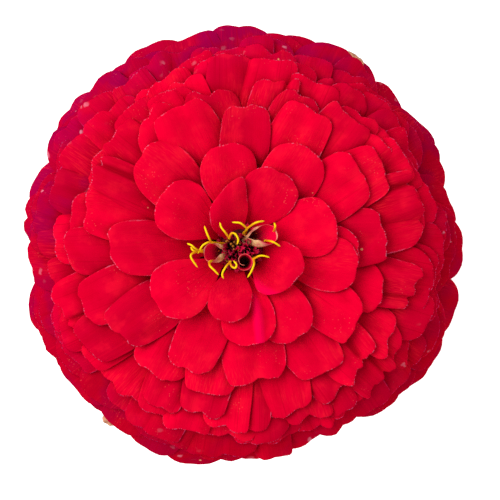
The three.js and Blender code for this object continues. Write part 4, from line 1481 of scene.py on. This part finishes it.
# The stem: its radius, that of its neck and where it starts to widen to it, how far it bends
# aside, where the cup starts, the level of the compost, and the rings that it is made of.
STEM_RADIUS = 2.7
NECK_RADIUS = 3.4
NECK_Z = 130
STEM_BEND = 2.2
CUP_Z = CORE_FOOT_Z - 7
SOIL_Z = 82
STEM_ROWS = 60
# Its bristles: how many, how far they stand out, and their radius at foot and tip.
BRISTLE_COUNT = 900
BRISTLE_LENGTHS = (0.6, 1.1)
BRISTLE_RADII = (0.07, 0.01)
# The leaf pairs: height, bearing of the first leaf, length, width, rise and droop in degrees.
LEAF_PAIRS = [
    (94, 20, 50, 21, 40, 24),
    (106, 112, 60, 26, 38, 34),
    (125, 28, 62, 27, 36, 36),
    (144, 118, 54, 24, 24, 34),
]
# The side shoots: height, bearing and length, each of two young leaves spread apart.
SIDE_SHOOTS = [(107.5, 112, 17), (107.5, 292, 15), (126.5, 28, 14), (126.5, 208, 16)]
# How far such a leaf is turned from the shoot's bearing, its rise and droop, all in degrees, and
# its width as a share of its length.
YOUNG_SPREAD = 28
YOUNG_RISE = 62
YOUNG_DROOP = 5
YOUNG_WIDTH = 0.42
# How thick a leaf, a young leaf and a scale of the cup are.
LEAF_THICKNESS = 0.5
YOUNG_THICKNESS = 0.4
SCALE_THICKNESS = 0.42
# The outside of the cup, as radius and height.
CUP_PROFILE = [
    (NECK_RADIUS, CUP_Z - 1),
    (4.6, CUP_Z + 0.6),
    (7.3, CORE_FOOT_Z - 4.4),
    (9.6, CORE_FOOT_Z - 1.9),
    (10.8, CORE_FOOT_Z + 0.4),
    (11.4, CORE_FOOT_Z + 3.2),
]
# The rows of scales from the top down: how many, from where to where up the cup, in millimetres
# along its profile, how far they stand off it at foot and tip, and their width.
SCALE_ROWS = [
    (10, (6.2, 17.2), (0.15, 0.3), 8.6),
    (9, (3.4, 12.6), (0.3, 0.95), 8.2),
    (8, (1.0, 8.4), (0.45, 1.2), 6.8),
    (7, (0.2, 4.8), (0.6, 1.3), 4.6),
]


def stem_point(z):
    """The middle of the stem at a height: it leans to the bloom's axis, with a slow bend."""
    share = np.clip((z - SOIL_Z) / (CORE_FOOT_Z - SOIL_Z), 0, 1)
    bend = math.sin(share * math.pi) * STEM_BEND
    return np.array([CENTRE[0] * share + bend, CENTRE[1] * share - bend * 0.5, z])


def leaf_points(z, bearing, length, width, rise, droop, rows=44, columns=21):
    """A leaf without a stalk: a broad, pointed blade that clasps the stem and arches over."""
    outward = level_way(math.radians(bearing))
    t = np.linspace(0, 1, rows)[:, None]
    v = np.linspace(-1, 1, columns)[None, :]
    steps = (np.arange(12) + 0.5) / 12
    slope = np.radians(mix(rise, -droop, steps[None, :] * t))
    run = (np.cos(slope) * length * t / 12).sum(1, keepdims=True)
    climb = (np.sin(slope) * length * t / 12).sum(1, keepdims=True)
    swell = np.clip(np.sin(math.pi * (0.1 + 0.9 * t) ** 0.72), 0, None)
    half = width / 2 * np.maximum(swell**0.85, 0.015)
    fold = np.abs(v) * half * 0.32
    wave = v * np.sin(t * 9 + bearing) * width * 0.035
    ruffle = 0.5 * np.abs(v) ** 3 * np.sin(t * 26 + 2 * v + bearing) * np.sin(math.pi * t)
    midrib = 0.45 * np.exp(-((v / 0.07) ** 2))
    veins = midrib + 0.25 * np.exp(-(((np.abs(v) - 0.42) / 0.06) ** 2)) * (1 - t)
    sunk = veins * np.sin(math.pi * np.clip(t, 0.02, 0.98)) ** 0.5
    pucker = 0.22 * np.sin(13 * math.pi * (t - 0.25 * np.abs(v))) * (1 - v**2) * np.sin(math.pi * t)
    points = stem_point(z) + run[..., None] * outward + (v * half)[..., None] * left_of(outward)
    lift = climb + fold + wave + ruffle + pucker - sunk
    return points + lift[..., None] * UP


def make_leaves(material):
    """The four pairs of leaves, each leaf a piece of its own, and the young leaves beside them."""
    number = 0
    for z, first_bearing, length, width, rise, droop in LEAF_PAIRS:
        for bearing in (first_bearing, first_bearing + 180):
            number += 1
            work = Patchwork()
            points = leaf_points(z, bearing, length, width, rise, droop)
            add_blade(work, points, LEAF_THICKNESS, marks={"tone": number % 3 / 4})
            work.piece(f"leaf_{number}", [material], "leafy_stem", "foliage")
    work = Patchwork()
    for z, bearing, length in SIDE_SHOOTS:
        for side in (-1, 1):
            spread = bearing + side * YOUNG_SPREAD
            width = length * YOUNG_WIDTH
            points = leaf_points(z, spread, length, width, YOUNG_RISE, YOUNG_DROOP, 24, 13)
            add_blade(work, points, YOUNG_THICKNESS, marks={"tone": 1.0})
    work.piece("young_leaves", [material], "leafy_stem", "foliage")


def make_stem(material):
    """The ribbed, bristly stem and the cup that it widens into."""
    work = Patchwork()
    heights = np.linspace(STEM_FOOT_Z, CUP_Z, STEM_ROWS)
    path = [stem_point(z) for z in heights]
    widening = np.clip((heights - NECK_Z) / (CUP_Z - NECK_Z), 0, 1)
    nodes = sum(0.5 * np.exp(-(((heights - z) / 1.6) ** 2)) for z, *_ in LEAF_PAIRS)
    radii = mix(STEM_RADIUS, NECK_RADIUS, widening) + nodes
    add_tube(work, path, radii, 28, section=lambda turn: 1 + 0.035 * np.cos(7 * turn))
    add_bristles(work, radii)
    inside = [(10.7, CORE_FOOT_Z + 3.4), (10.5, CORE_FOOT_Z)]
    add_lathe(work, stem_point(CORE_FOOT_Z), curve_through(CUP_PROFILE + inside, 5), 48)
    work.piece("stem", [material], "leafy_stem", "foliage")


def add_bristles(work, radii):
    """Adds short bristles all over the stem, which has these radii from its foot up."""
    draw = Draws(61)
    for _ in range(BRISTLE_COUNT):
        z = draw(SOIL_Z + 3, CUP_Z - 1)
        outward = level_way(draw(0, 2 * math.pi))
        at = int((z - STEM_FOOT_Z) / (CUP_Z - STEM_FOOT_Z) * (STEM_ROWS - 1))
        root = stem_point(z) + outward * (radii[at] - 0.1)
        tip = root + outward * draw(*BRISTLE_LENGTHS) + [0, 0, draw(-0.1, 0.5)]
        add_tube(work, [root, tip], BRISTLE_RADII, 3)


def make_scales(material):
    """The green scales that clothe the cup, each row overlapping the feet of the one above."""
    work = Patchwork()
    middle = stem_point(CORE_FOOT_Z)
    profile = curve_through([*CUP_PROFILE, (11.7, CORE_FOOT_Z + 6.5)], 6)
    steps = np.diff(profile, axis=0)
    arc = np.concatenate([[0], np.cumsum(np.linalg.norm(steps, axis=1))])
    headings = unit(np.gradient(profile, axis=0))
    draw = Draws(83)
    along = ray_columns(19) / 2 + 0.5
    across = ray_columns(15)
    for row, (count, (low, high), (off_foot, off_tip), width) in enumerate(SCALE_ROWS):
        for k in range(count):
            bearing = (k + 0.5 * row + draw(-0.08, 0.08)) / count * 2 * math.pi
            v = across[None, :]
            t = along[:, None] * (1 - 0.4 * superellipse(v, 2.4)) * draw(0.94, 1.03)
            at = mix(low, high, t)
            radius = np.interp(at, arc, profile[:, 0])
            height = np.interp(at, arc, profile[:, 1])
            heading = np.stack([np.interp(at, arc, headings[:, axis]) for axis in (0, 1)], -1)
            half = width / 2 * (0.8 + 0.2 * smooth(t / 0.5))
            off = mix(off_foot, off_tip, smooth(t)) - 0.12 * half * v**2
            radius = radius + off * heading[..., 1]
            height = height - off * heading[..., 0]
            turn = bearing + v * half / np.maximum(radius, 4.5)
            points = turned(middle, radius, turn, height)
            add_blade(work, points, SCALE_THICKNESS, 0, 0, {"tone": draw()}, along, across)
    work.piece("cup_scales", [material], "leafy_stem", "foliage")


# The pot and its compost

# How far inside the pot's rim its foot and the wall under its rim band are, and its drain hole.
FOOT_INSET = 19
WALL_INSET = 6
DRAIN_RADIUS = 6
# The compost: its hole for the stem, its edge, the rings and sides of its surface, the height of
# the mound about the stem, and the outline of its underside, as radius and height.
HOLE_RADIUS = 2.9
SOIL_EDGE = SOIL_RADIUS + 0.2
SOIL_RINGS = 56
SOIL_SIDES = 150
MOUND = 1.2
UNDERSIDE = [(SOIL_EDGE - 2.8, 68), (SOIL_EDGE - 15, 8), (20, 6.6), (0.5, 6.6)]
# The loose crumbs on it: how many, one in how many is a grain of perlite, and their sizes.
CRUMB_COUNT = 620
PERLITE_EVERY = 17
CRUMB_SIZES = (0.35, 1.5)
PERLITE_SIZES = (0.6, 1.3)


def wobble(z, turn):
    """How far the potter's hand left the clay out of round."""
    return 1 + 0.0012 * np.sin(2 * turn + 0.04 * z) + 0.0008 * np.sin(5 * turn - 0.11 * z)


def make_pot(material):
    """The clay pot, turned on a wheel, with its rim band and drain hole."""
    work = Patchwork()
    top = POT_TOP_Z
    rim = POT_RADIUS
    foot = rim - FOOT_INSET
    wall = rim - WALL_INSET
    profile = [
        (DRAIN_RADIUS + 0.2, 0.35),
        (DRAIN_RADIUS + 0.6, 0),
        (foot - 2.2, 0),
        (foot - 0.8, 0.3),
        (foot - 0.1, 1.4),
        (wall - 0.35, top - 25.6),
        (wall, top - 24.4),
        (wall + 1.6, top - 23.9),
        (rim - 2.2, top - 23.4),
        (rim - 1.4, top - 22),
        (rim - 0.3, top - 4),
        (rim - 0.2, top - 1.8),
        (rim - 1, top - 0.4),
        (rim - 2.4, top),
        (rim - 4.2, top - 0.1),
        (rim - 5.2, top - 0.9),
        (rim - 5.7, top - 3),
        (rim - 10.5, top - 24),
        (foot - 4, 6.4),
        (foot - 4.8, 6),
        (DRAIN_RADIUS + 1, 6),
        (DRAIN_RADIUS + 0.2, 5.6),
        (DRAIN_RADIUS, 3),
    ]
    add_lathe(work, (0, 0), refine(profile, 3), 144, ripple=wobble, closed=True)
    work.piece("clay_pot", [material], "pot", "terracotta")


def refine(profile, steps):
    """The same outline with more points on each of its straights."""
    points = np.array([*profile, profile[0]], float)
    parts = [mix(a, b, k / steps) for a, b in zip(points[:-1], points[1:]) for k in range(steps)]
    return np.array(parts)


def crumb_height(x, y):
    """How far the lumps of the compost's surface stand above or below its mound."""
    lump = noise.noise(Vector((x * 0.16, y * 0.16, 2.0))) * 1.1
    crumb = noise.noise(Vector((x * 0.55, y * 0.55, 7.0))) * 0.7
    grit = noise.noise(Vector((x * 1.7, y * 1.7, 4.0))) * 0.3
    return lump + crumb + grit


def mound_at(r):
    """The level of the compost's mound at this radius."""
    return SOIL_Z + MOUND * math.cos(r / SOIL_EDGE * math.pi / 2)


def make_compost(material):
    """The compost: a lumpy surface inside the pot's wall, and its plain underside."""
    work = Patchwork()
    radii = np.linspace(HOLE_RADIUS, SOIL_EDGE, SOIL_RINGS)
    turns = np.linspace(0, 2 * math.pi, SOIL_SIDES, endpoint=False)
    points = []
    for r in radii:
        fade = 1 - smooth((r - SOIL_EDGE + 2) / 2) * 0.8
        for turn in turns:
            x, y = r * math.cos(turn), r * math.sin(turn)
            points.append((x, y, mound_at(r) + crumb_height(x, y) * fade))
    points += [(r * math.cos(turn), r * math.sin(turn), z) for r, z in UNDERSIDE for turn in turns]
    faces, uvs = ring_faces(np.arange(len(points)).reshape(-1, len(turns)))
    work.add(np.array(points), faces, uvs, 0)
    work.piece("compost", [material], "soil", "compost")


def make_crumbs(material, perlite):
    """Loose crumbs and grains of perlite on the compost."""
    work = Patchwork()
    draw = Draws(71)
    for k in range(CRUMB_COUNT):
        is_perlite = k % PERLITE_EVERY == 0
        r = math.sqrt(draw(0.01, 1)) * (SOIL_EDGE - 1.8)
        turn = draw(0, 2 * math.pi)
        x, y = r * math.cos(turn), r * math.sin(turn)
        size = draw(*PERLITE_SIZES) if is_perlite else draw(*CRUMB_SIZES) ** 1.2
        z = mound_at(r) + crumb_height(x, y) + size * 0.25
        add_crumb(work, (x, y, z), size, draw(0, 50), 1 if is_perlite else 0)
    work.piece("crumbs", [material, perlite], "soil", "compost")


def add_crumb(work, at, size, seed, slot):
    """Adds a small irregular lump."""
    rows, sides = 7, 9
    polar = np.linspace(0.12, math.pi - 0.12, rows)[:, None]
    turn = np.linspace(0, 2 * math.pi, sides, endpoint=False)[None, :]
    level = np.broadcast_to(np.cos(polar), (rows, sides))
    shape = np.stack([np.sin(polar) * np.cos(turn), np.sin(polar) * np.sin(turn), level], -1)
    lumps = 1 + 0.22 * np.sin(3 * turn + seed) * np.sin(2 * polar + seed)
    lumps = lumps + 0.16 * np.sin(5 * turn - 2 * seed + polar)
    squash = np.array([1.0 + 0.3 * math.sin(seed), 1.0 + 0.3 * math.cos(2 * seed), 0.7])
    rings = np.asarray(at) + shape * lumps[..., None] * squash * size
    points = np.concatenate([*rings, [rings[0].mean(0), rings[-1].mean(0)]])
    index = np.arange(rows * sides).reshape(rows, sides)
    faces, uvs = ring_faces(index)
    upper = fan(index[0], np.roll(index[0], -1), index.size)
    lower = fan(np.roll(index[-1], -1), index[-1], index.size + 1)
    all_uvs = np.concatenate([uvs, np.zeros((2 * sides, 4, 2))])
    work.add(points, np.concatenate([faces, upper, lower]), all_uvs, slot)


# The stage: floor, light and camera


def make_stage():
    """A plain pale floor, a soft key light from the upper left and a bright, even sky."""
    mesh = bpy.data.meshes.new("floor")
    corners = [(x * FLOOR_HALF, y * FLOOR_HALF, 0) for x, y in [(-1, -1), (1, -1), (1, 1), (-1, 1)]]
    mesh.from_pydata(corners, [], [(0, 1, 2, 3)])
    mesh.materials.append(floor_material())
    floor = bpy.data.objects.new("floor", mesh)
    bpy.context.collection.objects.link(floor)

    world = bpy.data.worlds.new("sky")
    world.use_nodes = True
    background = world.node_tree.nodes["Background"]
    background.inputs["Color"].default_value = (1.0, 1.0, 1.0, 1.0)
    background.inputs["Strength"].default_value = SKY_STRENGTH
    bpy.context.scene.world = world

    light = bpy.data.lights.new("key", "AREA")
    light.shape = "DISK"
    light.size = KEY_SIZE
    light.energy = KEY_ENERGY
    key = bpy.data.objects.new("key", light)
    key.location = KEY_AT
    aim = Vector((0, 0, RIM_Z * MM)) - key.location
    key.rotation_euler = aim.to_track_quat("-Z", "Y").to_euler()
    bpy.context.collection.objects.link(key)


def make_camera():
    """The photograph's view: straight down on the bloom, from CAMERA_DISTANCE above its eye."""
    data = bpy.data.cameras.new("camera")
    data.sensor_width = SENSOR
    data.lens = SENSOR * PIXELS_PER_MM * CAMERA_DISTANCE / IMAGE_SIZE
    camera = bpy.data.objects.new("camera", data)
    right = (EYE_PIXEL[0] - IMAGE_SIZE / 2) / PIXELS_PER_MM
    above = (IMAGE_SIZE / 2 - EYE_PIXEL[1]) / PIXELS_PER_MM
    camera.location = Vector((CENTRE[0] - right, CENTRE[1] - above, EYE_Z + CAMERA_DISTANCE)) * MM
    data.clip_start, data.clip_end = CAMERA_RANGE
    bpy.context.collection.objects.link(camera)
    bpy.context.scene.camera = camera


make_stage()
make_camera()
bpy.context.scene.view_settings.view_transform = "Standard"

receptacle = receptacle_material()
make_rays(ray_face_material(), ray_back_material(), withered_material())
make_core(receptacle)
floret = floret_material()
make_styles(style_material(), floret)
make_bracts(bract_material(), floret, receptacle)
make_furled(young_face_material(), young_back_material())

make_leaves(leaf_material())
make_stem(stem_material())
make_scales(scale_material())

make_pot(clay_material())
compost = compost_material()
make_compost(compost)
make_crumbs(compost, perlite_material())
